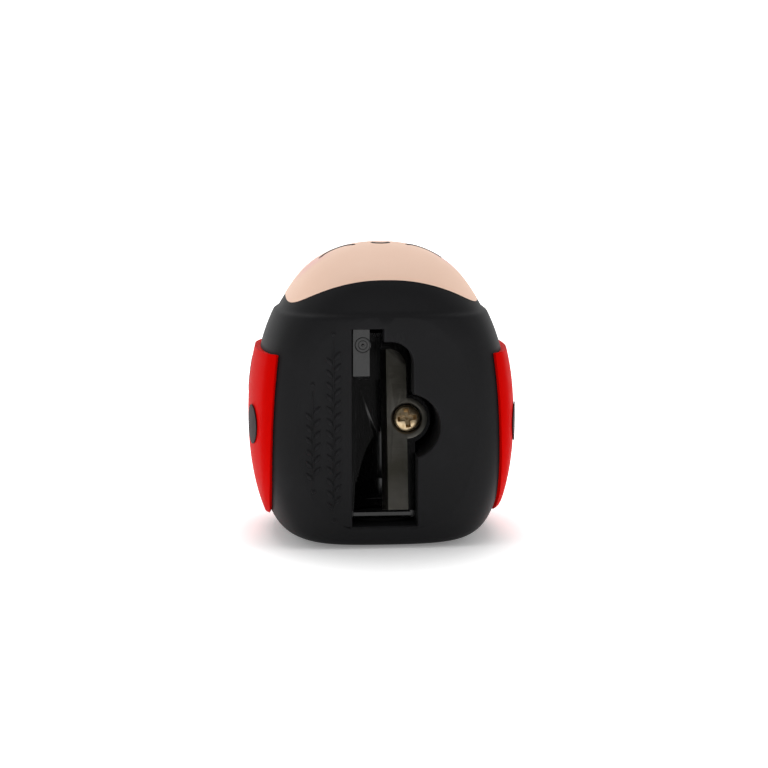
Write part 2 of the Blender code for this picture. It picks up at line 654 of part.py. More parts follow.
def screw_profile():
    """Half of the screw's section, from the top of its head down to its tip."""
    dimple_height = METAL_GAP + BLADE_THICKNESS + METAL_GAP - DIMPLE_BOTTOM
    slope = dimple_height / (BLADE_DIMPLE_RADIUS - BLADE_HOLE_RADIUS)
    lift = METAL_GAP * math.hypot(1.0, slope)
    rim_low = DIMPLE_BOTTOM + (SCREW_HEAD_RADIUS - BLADE_HOLE_RADIUS) * slope + lift
    neck_low = DIMPLE_BOTTOM + (SCREW_SHANK_RADIUS - BLADE_HOLE_RADIUS) * slope + lift
    rim_top = rim_low + SCREW_RIM_HEIGHT
    profile = []
    for step in range(7):
        angle = math.pi / 2 * step / 6
        profile.append((SCREW_HEAD_RADIUS * math.sin(angle), rim_top + SCREW_HEAD_RISE * math.cos(angle)))
    profile += [(SCREW_HEAD_RADIUS, rim_low), (SCREW_SHANK_RADIUS, neck_low)]
    profile += [(SCREW_SHANK_RADIUS, SCREW_SHANK_RADIUS / 2 - SCREW_SHANK_LENGTH)]
    profile += [(SCREW_SHANK_RADIUS / 2, -SCREW_SHANK_LENGTH), (0.0, -SCREW_SHANK_LENGTH)]
    return profile, rim_top + SCREW_HEAD_RISE


def make_screw(material):
    profile, head_top = screw_profile()
    shape = bmesh.new()
    corners = [shape.verts.new((radius, 0.0, height)) for radius, height in profile]
    for upper, lower in zip(corners, corners[1:]):
        shape.edges.new((upper, lower))
    mesh = bpy.data.meshes.new("blade_screw")
    shape.to_mesh(mesh)
    shape.free()
    screw = bpy.data.objects.new("blade_screw", mesh)
    turn = screw.modifiers.new("turn", "SCREW")
    turn.steps = ROUND_SEGMENTS
    turn.render_steps = ROUND_SEGMENTS
    turn.use_merge_vertices = True
    turn.merge_threshold = 0.001 * MM
    turn.use_smooth_shade = True
    as_part(screw, material)
    screw.matrix_world = screw_frame()
    low = head_top - RECESS_DEPTH
    arms = (
        ("recess across", RECESS_HALF_LENGTH, RECESS_HALF_WIDTH),
        ("recess along", RECESS_HALF_WIDTH, RECESS_HALF_LENGTH),
    )
    for name, across, along in arms:
        arm = box(name, (-across, -along, low), (across, along, head_top + MM))
        arm.data.transform(screw_frame())
        add_boolean(screw, as_cutter(arm))


# ---------------------------------------------------------------- the whole sharpener

def main():
    clear_scene()
    make_collections()
    black = make_material("black soft vinyl", (0.013, 0.013, 0.014), 0.55)
    red = make_material("red soft vinyl", (0.55, 0.006, 0.004), 0.45)
    peach = make_material("peach soft vinyl", (0.83, 0.59, 0.46), 0.5)
    spot = make_material("black spot vinyl", (0.02, 0.018, 0.018), 0.5)
    mark = make_material("dark mark vinyl", (0.03, 0.015, 0.015), 0.5)
    gloss = make_material("black gloss plastic", (0.012, 0.012, 0.012), 0.25)
    steel = make_material("ground steel", (0.42, 0.41, 0.39), 0.3, 1.0)
    nickel = make_material("nickel plate", (0.75, 0.66, 0.52), 0.22, 1.0)

    make_cover(black)
    for side, word in ((-1, "left"), (1, "right")):
        make_wing(side, word, red)
        make_spots(side, word, spot)
    face = make_face(peach)
    make_face_marks(face, mark)
    make_sharpener(gloss)
    make_blade(steel)
    make_screw(nickel)


main()
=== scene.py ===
"""Ladybird pencil sharpener: fine meshes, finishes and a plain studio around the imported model."""

import json
import logging
import math
from dataclasses import dataclass, field
from enum import Enum
from typing import Callable, Iterable, Optional

import bmesh
import bpy
from bmesh.types import BMEdge, BMesh, BMVert
from mathutils import Matrix, Vector


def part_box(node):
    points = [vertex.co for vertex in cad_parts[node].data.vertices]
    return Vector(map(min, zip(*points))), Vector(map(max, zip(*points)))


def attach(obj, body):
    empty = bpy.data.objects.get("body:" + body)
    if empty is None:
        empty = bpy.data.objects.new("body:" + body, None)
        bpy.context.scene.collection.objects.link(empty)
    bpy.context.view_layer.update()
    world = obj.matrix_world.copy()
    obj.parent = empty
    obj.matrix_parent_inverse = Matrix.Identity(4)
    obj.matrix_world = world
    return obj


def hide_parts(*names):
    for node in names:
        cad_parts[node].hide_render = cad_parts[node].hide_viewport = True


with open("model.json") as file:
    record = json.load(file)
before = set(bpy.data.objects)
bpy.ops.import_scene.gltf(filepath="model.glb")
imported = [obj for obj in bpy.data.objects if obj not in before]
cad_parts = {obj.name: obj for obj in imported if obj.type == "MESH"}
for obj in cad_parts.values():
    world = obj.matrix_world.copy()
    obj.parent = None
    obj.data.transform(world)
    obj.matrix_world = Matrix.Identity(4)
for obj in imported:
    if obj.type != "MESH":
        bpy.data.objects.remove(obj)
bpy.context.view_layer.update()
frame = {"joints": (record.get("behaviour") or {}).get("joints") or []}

MM = 0.001
WELD = 0.002 * MM
FINE_WELD = 0.001 * MM
log = logging.getLogger("pencil_sharpener")

Node = bpy.types.Node
Socket = bpy.types.NodeSocket
Tree = bpy.types.NodeTree
Pair = tuple[float, float]
Place = tuple[float, float, float]


class Body(Enum):
    """The bodies that pieces ride on."""

    FIGURE = "figure"
    BLADE = "blade"
    SCREW = "screw"


class Slot(Enum):
    """The material slots of the record."""

    BLACK_VINYL = "black_vinyl"
    PEACH_VINYL = "peach_vinyl"
    RED_VINYL = "red_vinyl"
    SPOT_VINYL = "spot_vinyl"
    MARK_VINYL = "mark_vinyl"
    GLOSS_PLASTIC = "gloss_plastic"
    BLADE_STEEL = "blade_steel"
    SCREW_PLATE = "screw_plate"


class Side(Enum):
    """The two sides of the figure, as signs of X."""

    LEFT = -1
    RIGHT = 1


class Operation(Enum):
    """What one solid does to another."""

    CUT = "DIFFERENCE"
    JOIN = "UNION"


# ---------------------------------------------------------------- finishes


def linear(hex_colour: str) -> tuple[float, float, float, float]:
    """Turn an sRGB hex colour into linear red, green, blue and an alpha of 1."""
    channels = [int(hex_colour[start : start + 2], 16) / 255 for start in (1, 3, 5)]
    red, green, blue = (
        c / 12.92 if c <= 0.04045 else ((c + 0.055) / 1.055) ** 2.4 for c in channels
    )
    return red, green, blue, 1.0


def feed(tree: Tree, node: Node, inputs: dict) -> None:
    """Give a node's inputs, by name or number, their values or the sockets that feed them."""
    for key, source in inputs.items():
        if isinstance(source, Socket):
            tree.links.new(source, node.inputs[key])
        else:
            node.inputs[key].default_value = source


def add_node(tree: Tree, kind: str, inputs: dict, **settings: str) -> bpy.types.NodeOutputs:
    """Add a shader node with its settings and inputs, and return its outputs."""
    node = tree.nodes.new(f"ShaderNode{kind}")
    for name, value in settings.items():
        setattr(node, name, value)
    feed(tree, node, inputs)
    return node.outputs


def noise(
    tree: Tree, place: Socket, size: float, detail: float, roughness: float = 0.5
) -> Socket:
    """A noise pattern whose features are this far apart."""
    inputs = {"Vector": place, "Scale": 1.0 / size, "Detail": detail, "Roughness": roughness}
    return add_node(tree, "TexNoise", inputs)["Fac"]


def stretch(tree: Tree, place: Socket, tilt: float, spacing: Place) -> Socket:
    """Tilt a place about Y and draw it out, so that noise of size 1 has this spacing."""
    scale = tuple(1.0 / size for size in spacing)
    inputs = {"Vector": place, "Rotation": (0.0, math.radians(tilt), 0.0), "Scale": scale}
    return add_node(tree, "Mapping", inputs)["Vector"]


def spread(
    tree: Tree, value: Socket, source: Pair = (0.0, 1.0), target: Pair = (0.0, 1.0),
    interpolation: str = "LINEAR",
) -> Socket:
    """Spread a value from one range over another, and hold it at the ends."""
    names = ("From Min", "From Max", "To Min", "To Max")
    inputs = {"Value": value, **dict(zip(names, (*source, *target)))}
    return add_node(tree, "MapRange", inputs, interpolation_type=interpolation)["Result"]


def blend(tree: Tree, share: Socket, under: Socket | str, over: Socket | str) -> Socket:
    """Mix two colours, each given as a hex colour or a socket."""
    first, second = (linear(c) if isinstance(c, str) else c for c in (under, over))
    return add_node(tree, "Mix", {"Factor": share, 6: first, 7: second}, data_type="RGBA")[2]


def bump(
    tree: Tree, height: Socket, strength: float, depth: float, under: Optional[Socket] = None
) -> Socket:
    """Turn a height into a bumpy normal, on top of another one if there is one."""
    inputs = {"Height": height, "Strength": strength, "Distance": depth}
    if under is not None:
        inputs["Normal"] = under
    return add_node(tree, "Bump", inputs)["Normal"]


def new_material(name: str) -> tuple[bpy.types.Material, Tree, Node, Socket]:
    """A new material, its node tree, its shader and the object coordinates in metres."""
    material = bpy.data.materials.new(name)
    material.use_nodes = True
    tree = material.node_tree
    place = add_node(tree, "TexCoord", {})["Object"]
    return material, tree, tree.nodes["Principled BSDF"], place


@dataclass(frozen=True)
class Finish:
    """A surface finish, which builds its material once."""

    name: str
    slot: Slot
    colour: str
    roughness: float

    def material(self) -> bpy.types.Material:
        """The finish's material, made on first use."""
        known = bpy.data.materials.get(self.name)
        if known:
            return known
        material, tree, shader, place = new_material(self.name)
        feed(tree, shader, self.pattern(tree, place))
        material.diffuse_color = linear(self.colour)
        return material

    def pattern(self, tree: Tree, place: Socket) -> dict:
        """The shader's inputs, with the pattern that makes them from the object coordinates."""
        raise NotImplementedError


@dataclass(frozen=True)
class SoftVinyl(Finish):
    """Soft PVC, slush moulded and left matt: fine mould grain, faint mottling, rubbed high spots.

    The grain is drawn about twice as coarse as the real 0.1 mm so that it shows.
    """

    shade: str = "#000000"
    rubbed: str = "#ffffff"
    rubbed_share: float = 0.06
    mottle_size: float = 7.0 * MM
    grain_size: float = 0.22 * MM
    grain_depth: float = 0.006 * MM
    specular: float = 0.3
    blush: Optional[str] = None
    blush_place: Place = (9.6 * MM, -2.2 * MM, 39.0 * MM)
    blush_reach: Pair = (0.6 * MM, 4.4 * MM)
    blush_share: float = 0.55

    def pattern(self, tree: Tree, place: Socket) -> dict:
        """Mottling, grain and rubbed spots."""
        mottle = noise(tree, place, self.mottle_size, 3.0, 0.55)
        grain = noise(tree, place, self.grain_size, 2.0, 0.6)
        rub = spread(tree, mottle, (0.56, 0.8), (0.0, self.rubbed_share))
        colour = blend(tree, rub, blend(tree, mottle, self.shade, self.colour), self.rubbed)
        if self.blush:
            colour = self.add_blush(tree, colour, place)
        rough = (self.roughness - 0.06, self.roughness + 0.06)
        return {
            "Base Color": colour,
            "Roughness": spread(tree, grain, target=rough),
            "Normal": bump(tree, grain, 0.5, self.grain_depth),
            "Specular IOR Level": self.specular,
        }

    def add_blush(self, tree: Tree, colour: Socket, place: Socket) -> Socket:
        """Airbrush a soft round blush over a colour, on each side of the face."""
        across, back, height = self.blush_place
        for side in Side:
            centre = (side.value * across, back, height)
            away = add_node(tree, "VectorMath", {0: place, 1: centre}, operation="DISTANCE")
            share = spread(
                tree, away["Value"], self.blush_reach, (self.blush_share, 0.0), "SMOOTHSTEP"
            )
            colour = blend(tree, share, colour, self.blush)
        return colour


@dataclass(frozen=True)
class GlossStyrene(Finish):
    """Black polystyrene, injection moulded: glossy, with faint sink waves and hair scratches."""

    wave_size: float = 2.5 * MM
    wave_depth: float = 0.012 * MM
    scratch_length: float = 2.0 * MM
    scratch_width: float = 0.06 * MM
    scratch_depth: float = 0.01 * MM
    scratch_tilt: float = 12.0

    def pattern(self, tree: Tree, place: Socket) -> dict:
        """Sink waves and scratches."""
        wave = noise(tree, place, self.wave_size, 1.0)
        spacing = (self.scratch_width, self.scratch_length, self.scratch_length)
        scratch = noise(tree, stretch(tree, place, self.scratch_tilt, spacing), 1.0, 2.0)
        rough = (self.roughness, self.roughness + 0.16)
        waves = bump(tree, wave, 0.6, self.wave_depth)
        return {
            "Base Color": linear(self.colour),
            "Roughness": spread(tree, scratch, (0.45, 0.75), rough),
            "Normal": bump(tree, scratch, 0.12, self.scratch_depth, waves),
        }


@dataclass(frozen=True)
class GroundSteel(Finish):
    """Hardened carbon steel, ground across the blade: fine straight lines and oily stains.

    The lines are drawn at 0.16 mm, coarser than the real grit, so that they show.
    """

    stain: str = "#000000"
    line_spacing: float = 0.16 * MM
    line_length: float = 3.5 * MM
    line_depth: float = 0.03 * MM
    line_tilt: float = 2.0
    stain_size: float = 7.0 * MM

    def pattern(self, tree: Tree, place: Socket) -> dict:
        """Grinding lines and stains."""
        spacing = (self.line_length, self.line_spacing, self.line_spacing)
        lines = noise(tree, stretch(tree, place, self.line_tilt, spacing), 1.0, 3.0, 0.65)
        stained = spread(tree, noise(tree, place, self.stain_size, 4.0), (0.4, 0.68))
        rough = (self.roughness - 0.08, self.roughness + 0.12)
        return {
            "Base Color": blend(tree, stained, self.colour, self.stain),
            "Roughness": spread(tree, lines, (0.3, 0.7), rough),
            "Normal": bump(tree, lines, 0.5, self.line_depth),
            "Metallic": 1.0,
        }


@dataclass(frozen=True)
class PlatedSteel(Finish):
    """Steel, cold headed and barrel plated with yellowish nickel: bright, with tumbling dents."""

    tarnish: str = "#000000"
    dent_size: float = 0.5 * MM
    dent_depth: float = 0.012 * MM

    def pattern(self, tree: Tree, place: Socket) -> dict:
        """Dents and tarnish."""
        dent = noise(tree, place, self.dent_size, 3.0)
        tarnished = spread(tree, dent, (0.42, 0.75))
        rough = (self.roughness - 0.05, self.roughness + 0.1)
        return {
            "Base Color": blend(tree, tarnished, self.colour, self.tarnish),
            "Roughness": spread(tree, dent, target=rough),
            "Normal": bump(tree, dent, 0.5, self.dent_depth),
            "Metallic": 1.0,
        }


BLACK_VINYL = SoftVinyl(
    "black soft PVC", Slot.BLACK_VINYL, "#18181a", 0.56, shade="#141415", rubbed="#38383a",
    specular=0.13,
)
RED_VINYL = SoftVinyl(
    "red soft PVC", Slot.RED_VINYL, "#cc0400", 0.5, shade="#c20200", rubbed="#d6241a",
    rubbed_share=0.04, specular=0.01,
)
PEACH_VINYL = SoftVinyl(
    "peach soft PVC", Slot.PEACH_VINYL, "#f0ceb9", 0.55, shade="#ecc7b1", rubbed="#f6ddcc",
    rubbed_share=0.05, specular=0.2, blush="#e8b4b4",
)
SPOT_VINYL = SoftVinyl(
    "black spot PVC", Slot.SPOT_VINYL, "#382a2c", 0.6, shade="#2e2224", rubbed="#5a4c4e",
    specular=0.06,
)
MARK_VINYL = SoftVinyl(
    "dark brown printed PVC", Slot.MARK_VINYL, "#33231f", 0.5, shade="#261916", rubbed="#4d3a36"
)
GLOSS_STYRENE = GlossStyrene("black gloss polystyrene", Slot.GLOSS_PLASTIC, "#0e0e0f", 0.14)
BLADE_STEEL = GroundSteel(
    "ground carbon steel", Slot.BLADE_STEEL, "#66645f", 0.36, stain="#4c4a43"
)
SCREW_PLATE = PlatedSteel(
    "yellowish nickel plate", Slot.SCREW_PLATE, "#cdb896", 0.3, tarnish="#a58c66"
)


# ---------------------------------------------------------------- mesh helpers


def link_piece(
    shape: BMesh, name: str, finish: Finish, body: Body, stands_for: Iterable[str] = (),
    crease: float = 38.0, weighted: bool = False,
) -> None:
    """Turn a finished shape into a piece that rides on a body.

    Args:
        shape: The shape, which is freed.
        name: The piece's name.
        finish: Its finish.
        body: The body that it rides on.
        stands_for: The model's nodes that it replaces.
        crease: The angle in degrees past which an edge is sharp.
        weighted: Whether large faces keep their own normal.
    """
    mesh = bpy.data.meshes.new(name)
    shape.to_mesh(mesh)
    shape.free()
    mesh.shade_smooth()
    mesh.set_sharp_from_angle(angle=math.radians(crease))
    mesh.materials.append(finish.material())
    piece = bpy.data.objects.new(name, mesh)
    bpy.context.scene.collection.objects.link(piece)
    if weighted:
        modifier = piece.modifiers.new("flat faces stay flat", "WEIGHTED_NORMAL")
        modifier.keep_sharp = True
    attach(piece, body.value)
    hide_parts(*stands_for)
    log.info("%s: %d faces, rides on %s", name, len(mesh.polygons), body.value)


def combine(shape: BMesh, others: Iterable[BMesh], operation: Operation) -> BMesh:
    """Cut a solid with others, or join them to it, and free them all."""
    scratch = []
    for number, solid in enumerate([shape, *others]):
        mesh = bpy.data.meshes.new(f"scratch {number}")
        solid.to_mesh(mesh)
        solid.free()
        item = bpy.data.objects.new(mesh.name, mesh)
        bpy.context.scene.collection.objects.link(item)
        scratch.append(item)
    for item in scratch[1:]:
        modifier = scratch[0].modifiers.new(item.name, "BOOLEAN")
        modifier.operation = operation.value
        modifier.solver = "EXACT"
        modifier.object = item
    bpy.context.view_layer.update()
    evaluated = scratch[0].evaluated_get(bpy.context.evaluated_depsgraph_get())
    result = bmesh.new()
    result.from_mesh(evaluated.to_mesh())
    evaluated.to_mesh_clear()
    for item in scratch:
        mesh = item.data
        bpy.data.objects.remove(item, do_unlink=True)
        bpy.data.meshes.remove(mesh)
    return result


def box(low: Iterable[float], high: Iterable[float]) -> BMesh:
    """A box between two corners."""
    low, high = Vector(low), Vector(high)
    shape = bmesh.new()
    bmesh.ops.create_cube(shape, size=1.0)
    bmesh.ops.scale(shape, vec=high - low, verts=shape.verts)
    bmesh.ops.translate(shape, vec=(low + high) / 2, verts=shape.verts)
    return shape


def cone(
    base: Iterable[float], direction: Iterable[float], length: float, radius_base: float,
    radius_tip: float, segments: int = 96,
) -> BMesh:
    """A closed cone that points from its base's centre in some direction."""
    shape = bmesh.new()
    bmesh.ops.create_cone(
        shape, cap_ends=True, segments=segments, radius1=radius_base, radius2=radius_tip,
        depth=length,
    )
    turn = Vector(direction).to_track_quat("Z", "Y").to_matrix().to_4x4()
    place = Matrix.Translation(Vector(base)) @ turn @ Matrix.Translation((0, 0, length / 2))
    return moved(shape, place)


def cylinder(
    base: Iterable[float], direction: Iterable[float], length: float, radius: float
) -> BMesh:
    """A closed cylinder that points from its base's centre in some direction."""
    return cone(base, direction, length, radius, radius)


def prism(outline: list[Pair], low: float, high: float) -> BMesh:
    """A flat outline in XY, raised from one height to another."""
    shape = bmesh.new()
    corners = [shape.verts.new((x, y, low)) for x, y in outline]
    face = shape.faces.new(corners)
    raised = bmesh.ops.extrude_face_region(shape, geom=[face])["geom"]
    top = [item for item in raised if isinstance(item, BMVert)]
    bmesh.ops.translate(shape, vec=(0, 0, high - low), verts=top)
    face_out(shape)
    return shape


def lathe(section: list[Pair], steps: int, closed: bool = False) -> BMesh:
    """Turn a section, given as radii and heights, once round the Z axis."""
    shape = bmesh.new()
    corners = [shape.verts.new((radius, 0.0, height)) for radius, height in section]
    after = corners[1:] + corners[:1] if closed else corners[1:]
    edges = [shape.edges.new(pair) for pair in zip(corners, after)]
    bmesh.ops.spin(
        shape, geom=[*corners, *edges], cent=(0, 0, 0), axis=(0, 0, 1), angle=2 * math.pi,
        steps=steps, use_merge=True,
    )
    bmesh.ops.remove_doubles(shape, verts=shape.verts, dist=FINE_WELD)
    face_out(shape)
    return shape


def ellipsoid(shape: BMesh, segments: int, rings: int, radii: Place) -> list[BMVert]:
    """Add an ellipsoid about the origin to a shape, and return its points."""
    made = bmesh.ops.create_uvsphere(shape, u_segments=segments, v_segments=rings, radius=1.0)
    bmesh.ops.scale(shape, vec=radii, verts=made["verts"])
    return made["verts"]


def dome(segments: int, rings: int) -> BMesh:
    """The upper half of a ball of radius 1, open below."""
    shape = bmesh.new()
    ellipsoid(shape, segments, rings, (1, 1, 1))
    slice_off(shape, (0, 0, 0), (0, 0, -1), 1e-6)
    return shape


def arc(centre: Pair, radius: float, start: float, end: float, steps: int) -> list[Pair]:
    """Points along an arc between two angles in radians, with both ends."""
    angles = [start + (end - start) * step / steps for step in range(steps + 1)]
    return [(centre[0] + radius * math.cos(a), centre[1] + radius * math.sin(a)) for a in angles]


def face_out(shape: BMesh) -> None:
    """Turn a shape's faces outwards."""
    bmesh.ops.recalc_face_normals(shape, faces=shape.faces)


def moved(shape: BMesh, place: Matrix) -> BMesh:
    """Move a shape into a frame."""
    bmesh.ops.transform(shape, matrix=place, verts=shape.verts)
    return shape


def rotate(
    shape: BMesh, degrees: float, axis: str, verts: Optional[list[BMVert]] = None
) -> None:
    """Rotate a shape, or some of its points, about an axis through the origin."""
    turn = Matrix.Rotation(math.radians(degrees), 3, axis)
    bmesh.ops.rotate(shape, matrix=turn, verts=verts or shape.verts)


def face_belly(shape: BMesh) -> BMesh:
    """Turn a prism drawn in XY so that its outline lies in XZ and it rises towards -Y."""
    rotate(shape, 90.0, "X")
    return shape


def slice_off(shape: BMesh, point: Place, normal: Place, distance: float) -> None:
    """Cut away what lies past a plane and leave the cut open."""
    bmesh.ops.bisect_plane(
        shape, geom=[*shape.verts, *shape.edges, *shape.faces], dist=distance, plane_co=point,
        plane_no=normal, clear_outer=True,
    )


def close_cut(shape: BMesh) -> None:
    """Close a shape's open rim with a face."""
    rim = [edge for edge in shape.edges if edge.is_boundary]
    bmesh.ops.contextual_create(shape, geom=rim)


def sharp_edges(shape: BMesh, degrees: float) -> list[BMEdge]:
    """The edges whose faces meet at more than this angle."""
    least = math.radians(degrees)
    return [
        edge for edge in shape.edges if edge.is_manifold and edge.calc_face_angle(0.0) > least
    ]


def bevel_edges(shape: BMesh, edges: Iterable[BMEdge], width: float, segments: int = 3) -> None:
    """Round some edges; the rounding reaches this far from each."""
    bmesh.ops.bevel(
        shape, geom=list(edges), offset=width, offset_type="OFFSET", segments=segments,
        profile=0.5, affect="EDGES", material=-1, clamp_overlap=True,
    )


def settle(shape: BMesh, distance: float) -> None:
    """Ready a cut shape for rounding: merge points this close and split many-sided faces."""
    bmesh.ops.remove_doubles(shape, verts=shape.verts, dist=distance)
    bmesh.ops.triangulate(shape, faces=[face for face in shape.faces if len(face.verts) > 4])
    face_out(shape)


def thicken(shape: BMesh, thickness: float, rounding: float, segments: int = 3) -> None:
    """Give an open patch a wall behind it and round its outer rim.

    Args:
        shape: The open patch, whose faces point out.
        thickness: The wall's thickness, behind the patch.
        rounding: How far the rim's rounding reaches.
        segments: How many facets the rounding has.
    """
    rim = {edge for edge in shape.edges if edge.is_boundary}
    skin = list(shape.faces)
    bmesh.ops.recalc_face_normals(shape, faces=skin)
    bmesh.ops.solidify(shape, geom=skin, thickness=thickness)
    face_out(shape)
    rim_edges = [edge for edge in shape.edges if edge.is_valid and edge in rim]
    bevel_edges(shape, rim_edges, rounding, segments)


def bisect(low: float, high: float, is_past: Callable[[float], bool], rounds: int = 30) -> float:
    """Close in on the value where a test turns from false at low to true at high."""
    for _ in range(rounds):
        middle = (low + high) / 2
        if is_past(middle):
            high = middle
        else:
            low = middle
    return (low + high) / 2


def smooth_step(value: float, low: float, high: float) -> float:
    """0 below low, 1 above high, and a smooth rise between them."""
    share = min(max((value - low) / (high - low), 0.0), 1.0)
    return share * share * (3.0 - 2.0 * share)


# ---------------------------------------------------------------- the figure's form


@dataclass(frozen=True)
class FigureForm:
    """The rounded form that the figure's cover, wings, spots and face all follow."""

    half_width: float = 18.6 * MM
    half_length: float = 25.2 * MM
    centre_height: float = 17.2 * MM
    belly: float = 15.5 * MM
    belly_bulge: float = 7.9 * MM
    wing_proud: float = 0.8 * MM
    plan_power: float = 2.5
    profile_power: float = 2.25
    edge_power: float = 14.0
    flat_trim: float = 0.2 * MM
    hood_height: float = 33.1 * MM
    hood_step: float = 0.45 * MM
    hood_rise: Pair = (-0.5 * MM, 0.6 * MM)
    hood_fade: Pair = (1.5 * MM, 7.0 * MM)

    @property
    def centre(self) -> Vector:
        """The point that the form is drawn about."""
        return Vector((0.0, 0.0, self.centre_height))

    def reach(self, ray: Vector, swell: float = 0.0) -> float:
        """How far out a point is, as a share of the way to the skin.

        Args:
            ray: The point, from the form's centre.
            swell: How far the skin is pushed out.

        Returns:
            1 on the skin, and less inside it.
        """
        depth = self.belly + (self.belly_bulge if ray.y < 0 else -self.wing_proud) + swell
        plan = (
            abs(ray.x / (self.half_width + swell)) ** self.plan_power
            + abs(ray.y / depth) ** self.plan_power
        ) ** (1 / self.plan_power)
        shell = (
            plan**self.profile_power + abs(ray.z / (self.half_length + swell)) ** self.profile_power
        ) ** (1 / self.profile_power)
        belly = max(-ray.y, 0.0) / (self.belly + self.flat_trim + swell)
        tail = max(-ray.z, 0.0) / (self.centre_height + self.flat_trim + swell)
        power = self.edge_power
        return (shell**power + belly**power + tail**power) ** (1 / power)

    def hood_inset(self, height: float) -> float:
        """How far the skin steps in above the ledge round the neck, fading out upwards."""
        rise = smooth_step(height - self.hood_height, *self.hood_rise)
        fade = smooth_step(height - self.hood_height, *self.hood_fade)
        return self.hood_step * rise * (1.0 - fade)

    def skin(self, direction: Vector, swell: float = 0.0) -> Vector:
        """Where a ray from the centre meets the skin, pushed out by swell."""
        ray = direction.normalized()
        point = self.centre + ray / self.reach(ray, swell)
        return point - ray * self.hood_inset(point.z)

    def skin_at(self, bearing: float, height: float, swell: float = 0.0) -> Vector:
        """The skin, pushed out by swell, at a height and a bearing from -Y towards +X."""
        way = Vector((math.sin(bearing), -math.cos(bearing), 0.0))
        up = Vector((0.0, 0.0, height - self.centre_height))
        far = bisect(
            0.0, 2 * self.half_width, lambda radius: self.reach(way * radius + up, swell) > 1.0
        )
        far -= self.hood_inset(height)
        return Vector((way.x * far, way.y * far, height))

    def dome_at(self, across: float, back: float, swell: float = 0.0) -> Vector:
        """The top of the head, pushed out by swell, above a place's X and Y."""
        rise = bisect(
            0.0, 2 * self.half_length,
            lambda height: self.reach(Vector((across, back, height)), swell) > 1.0,
        )
        point = Vector((across, back, rise))
        inset = self.hood_inset(self.centre_height + rise)
        return self.centre + point * (1.0 - inset / point.length)


FORM = FigureForm(belly=-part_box("cover_body")[0].y)


# ---------------------------------------------------------------- the soft figure


@dataclass
class BellyWindow:
    """The opening in the belly, in X and Z, which follows the sharpener, blade and screw boss."""

    left: float = -4.93 * MM
    right: float = 4.23 * MM
    bottom: float = 3.24 * MM
    top: float = 31.1 * MM
    slot_right: float = -0.5 * MM
    blade_top: float = 29.3 * MM
    blade_right: float = 3.6 * MM
    corner_radius: float = 3.1 * MM
    access_radius: float = 4.58 * MM
    access_x: float = 2.85 * MM
    access_height: float = 17.4 * MM

    def outline(self) -> list[Pair]:
        """The opening's outline, as X and Z."""
        centre = (self.access_x, self.access_height)
        low_angle = -math.acos((self.right - self.access_x) / self.access_radius)
        high_angle = math.acos((self.blade_right - self.access_x) / self.access_radius)
        corner = (self.blade_right - self.corner_radius, self.blade_top - self.corner_radius)
        outline = [(self.left, self.bottom), (self.right, self.bottom)]
        outline += arc(centre, self.access_radius, low_angle, high_angle, 40)
        outline += arc(corner, self.corner_radius, 0.0, math.pi / 2, 20)
        outline += [(self.slot_right, self.blade_top), (self.slot_right, self.top)]
        return [*outline, (self.left, self.top)]


@dataclass
class Cover:
    """The black cover: the figure's form, with a window in its belly and a hole in its tail."""

    wedge: "WedgeSharpener"
    form: FigureForm = FORM
    window: BellyWindow = field(default_factory=BellyWindow)
    segments: int = 224
    rings: int = 208
    lip_thickness: float = 3.5 * MM
    pocket_gap: float = 0.3 * MM
    hole_radius: float = 4.4 * MM
    lip_rounding: float = 0.28 * MM
    lip_angle: float = 60.0
    cut_margin: float = 1.0 * MM
    trim: float = 0.0005 * MM
    on_plane: float = 0.01 * MM

    def hull(self) -> BMesh:
        """The figure's outside, flattened at the belly and the tail."""
        shape = bmesh.new()
        bmesh.ops.create_uvsphere(shape, u_segments=self.segments, v_segments=self.rings, radius=1.0)
        for vertex in shape.verts:
            vertex.co = self.form.skin(vertex.co)
        for point, normal in (
            ((0.0, -self.form.belly, 0.0), (0.0, -1.0, 0.0)), ((0.0, 0.0, 0.0), (0.0, 0.0, -1.0))
        ):
            slice_off(shape, point, normal, self.trim)
            close_cut(shape)
        bmesh.ops.triangulate(shape, faces=[face for face in shape.faces if len(face.verts) == 4])
        face_out(shape)
        return shape

    def cavities(self) -> list[BMesh]:
        """The window, the sharpener's pocket and the tail's hole."""
        low, high = self.wedge.block()
        gap, margin = self.pocket_gap, self.cut_margin
        deep = high.y + gap
        lip_back = -self.form.belly + self.lip_thickness
        window = face_belly(prism(self.window.outline(), -deep, self.form.belly + margin))
        pocket = box((low.x - gap, lip_back, low.z - gap), (high.x + gap, deep, high.z + gap))
        pencil = self.wedge.pencil_axis()
        start = (pencil.x, pencil.y, -margin)
        hole = cylinder(start, (0, 0, 1), low.z + margin, self.hole_radius)
        return [window, pocket, hole]

    def is_lip(self, edge: BMEdge) -> bool:
        """Whether an edge is the window's or the tail hole's outer rim."""
        ends = [vertex.co for vertex in edge.verts]
        on_belly = all(abs(co.y + self.form.belly) < self.on_plane for co in ends)
        on_tail = all(abs(co.z) < self.on_plane for co in ends)
        return on_belly or on_tail

    def build(self) -> None:
        """Make the cover."""
        shape = combine(self.hull(), self.cavities(), Operation.CUT)
        settle(shape, WELD)
        lip = [edge for edge in sharp_edges(shape, self.lip_angle) if self.is_lip(edge)]
        bevel_edges(shape, lip, self.lip_rounding)
        link_piece(shape, "cover", BLACK_VINYL, Body.FIGURE, ["cover_body"], weighted=True)


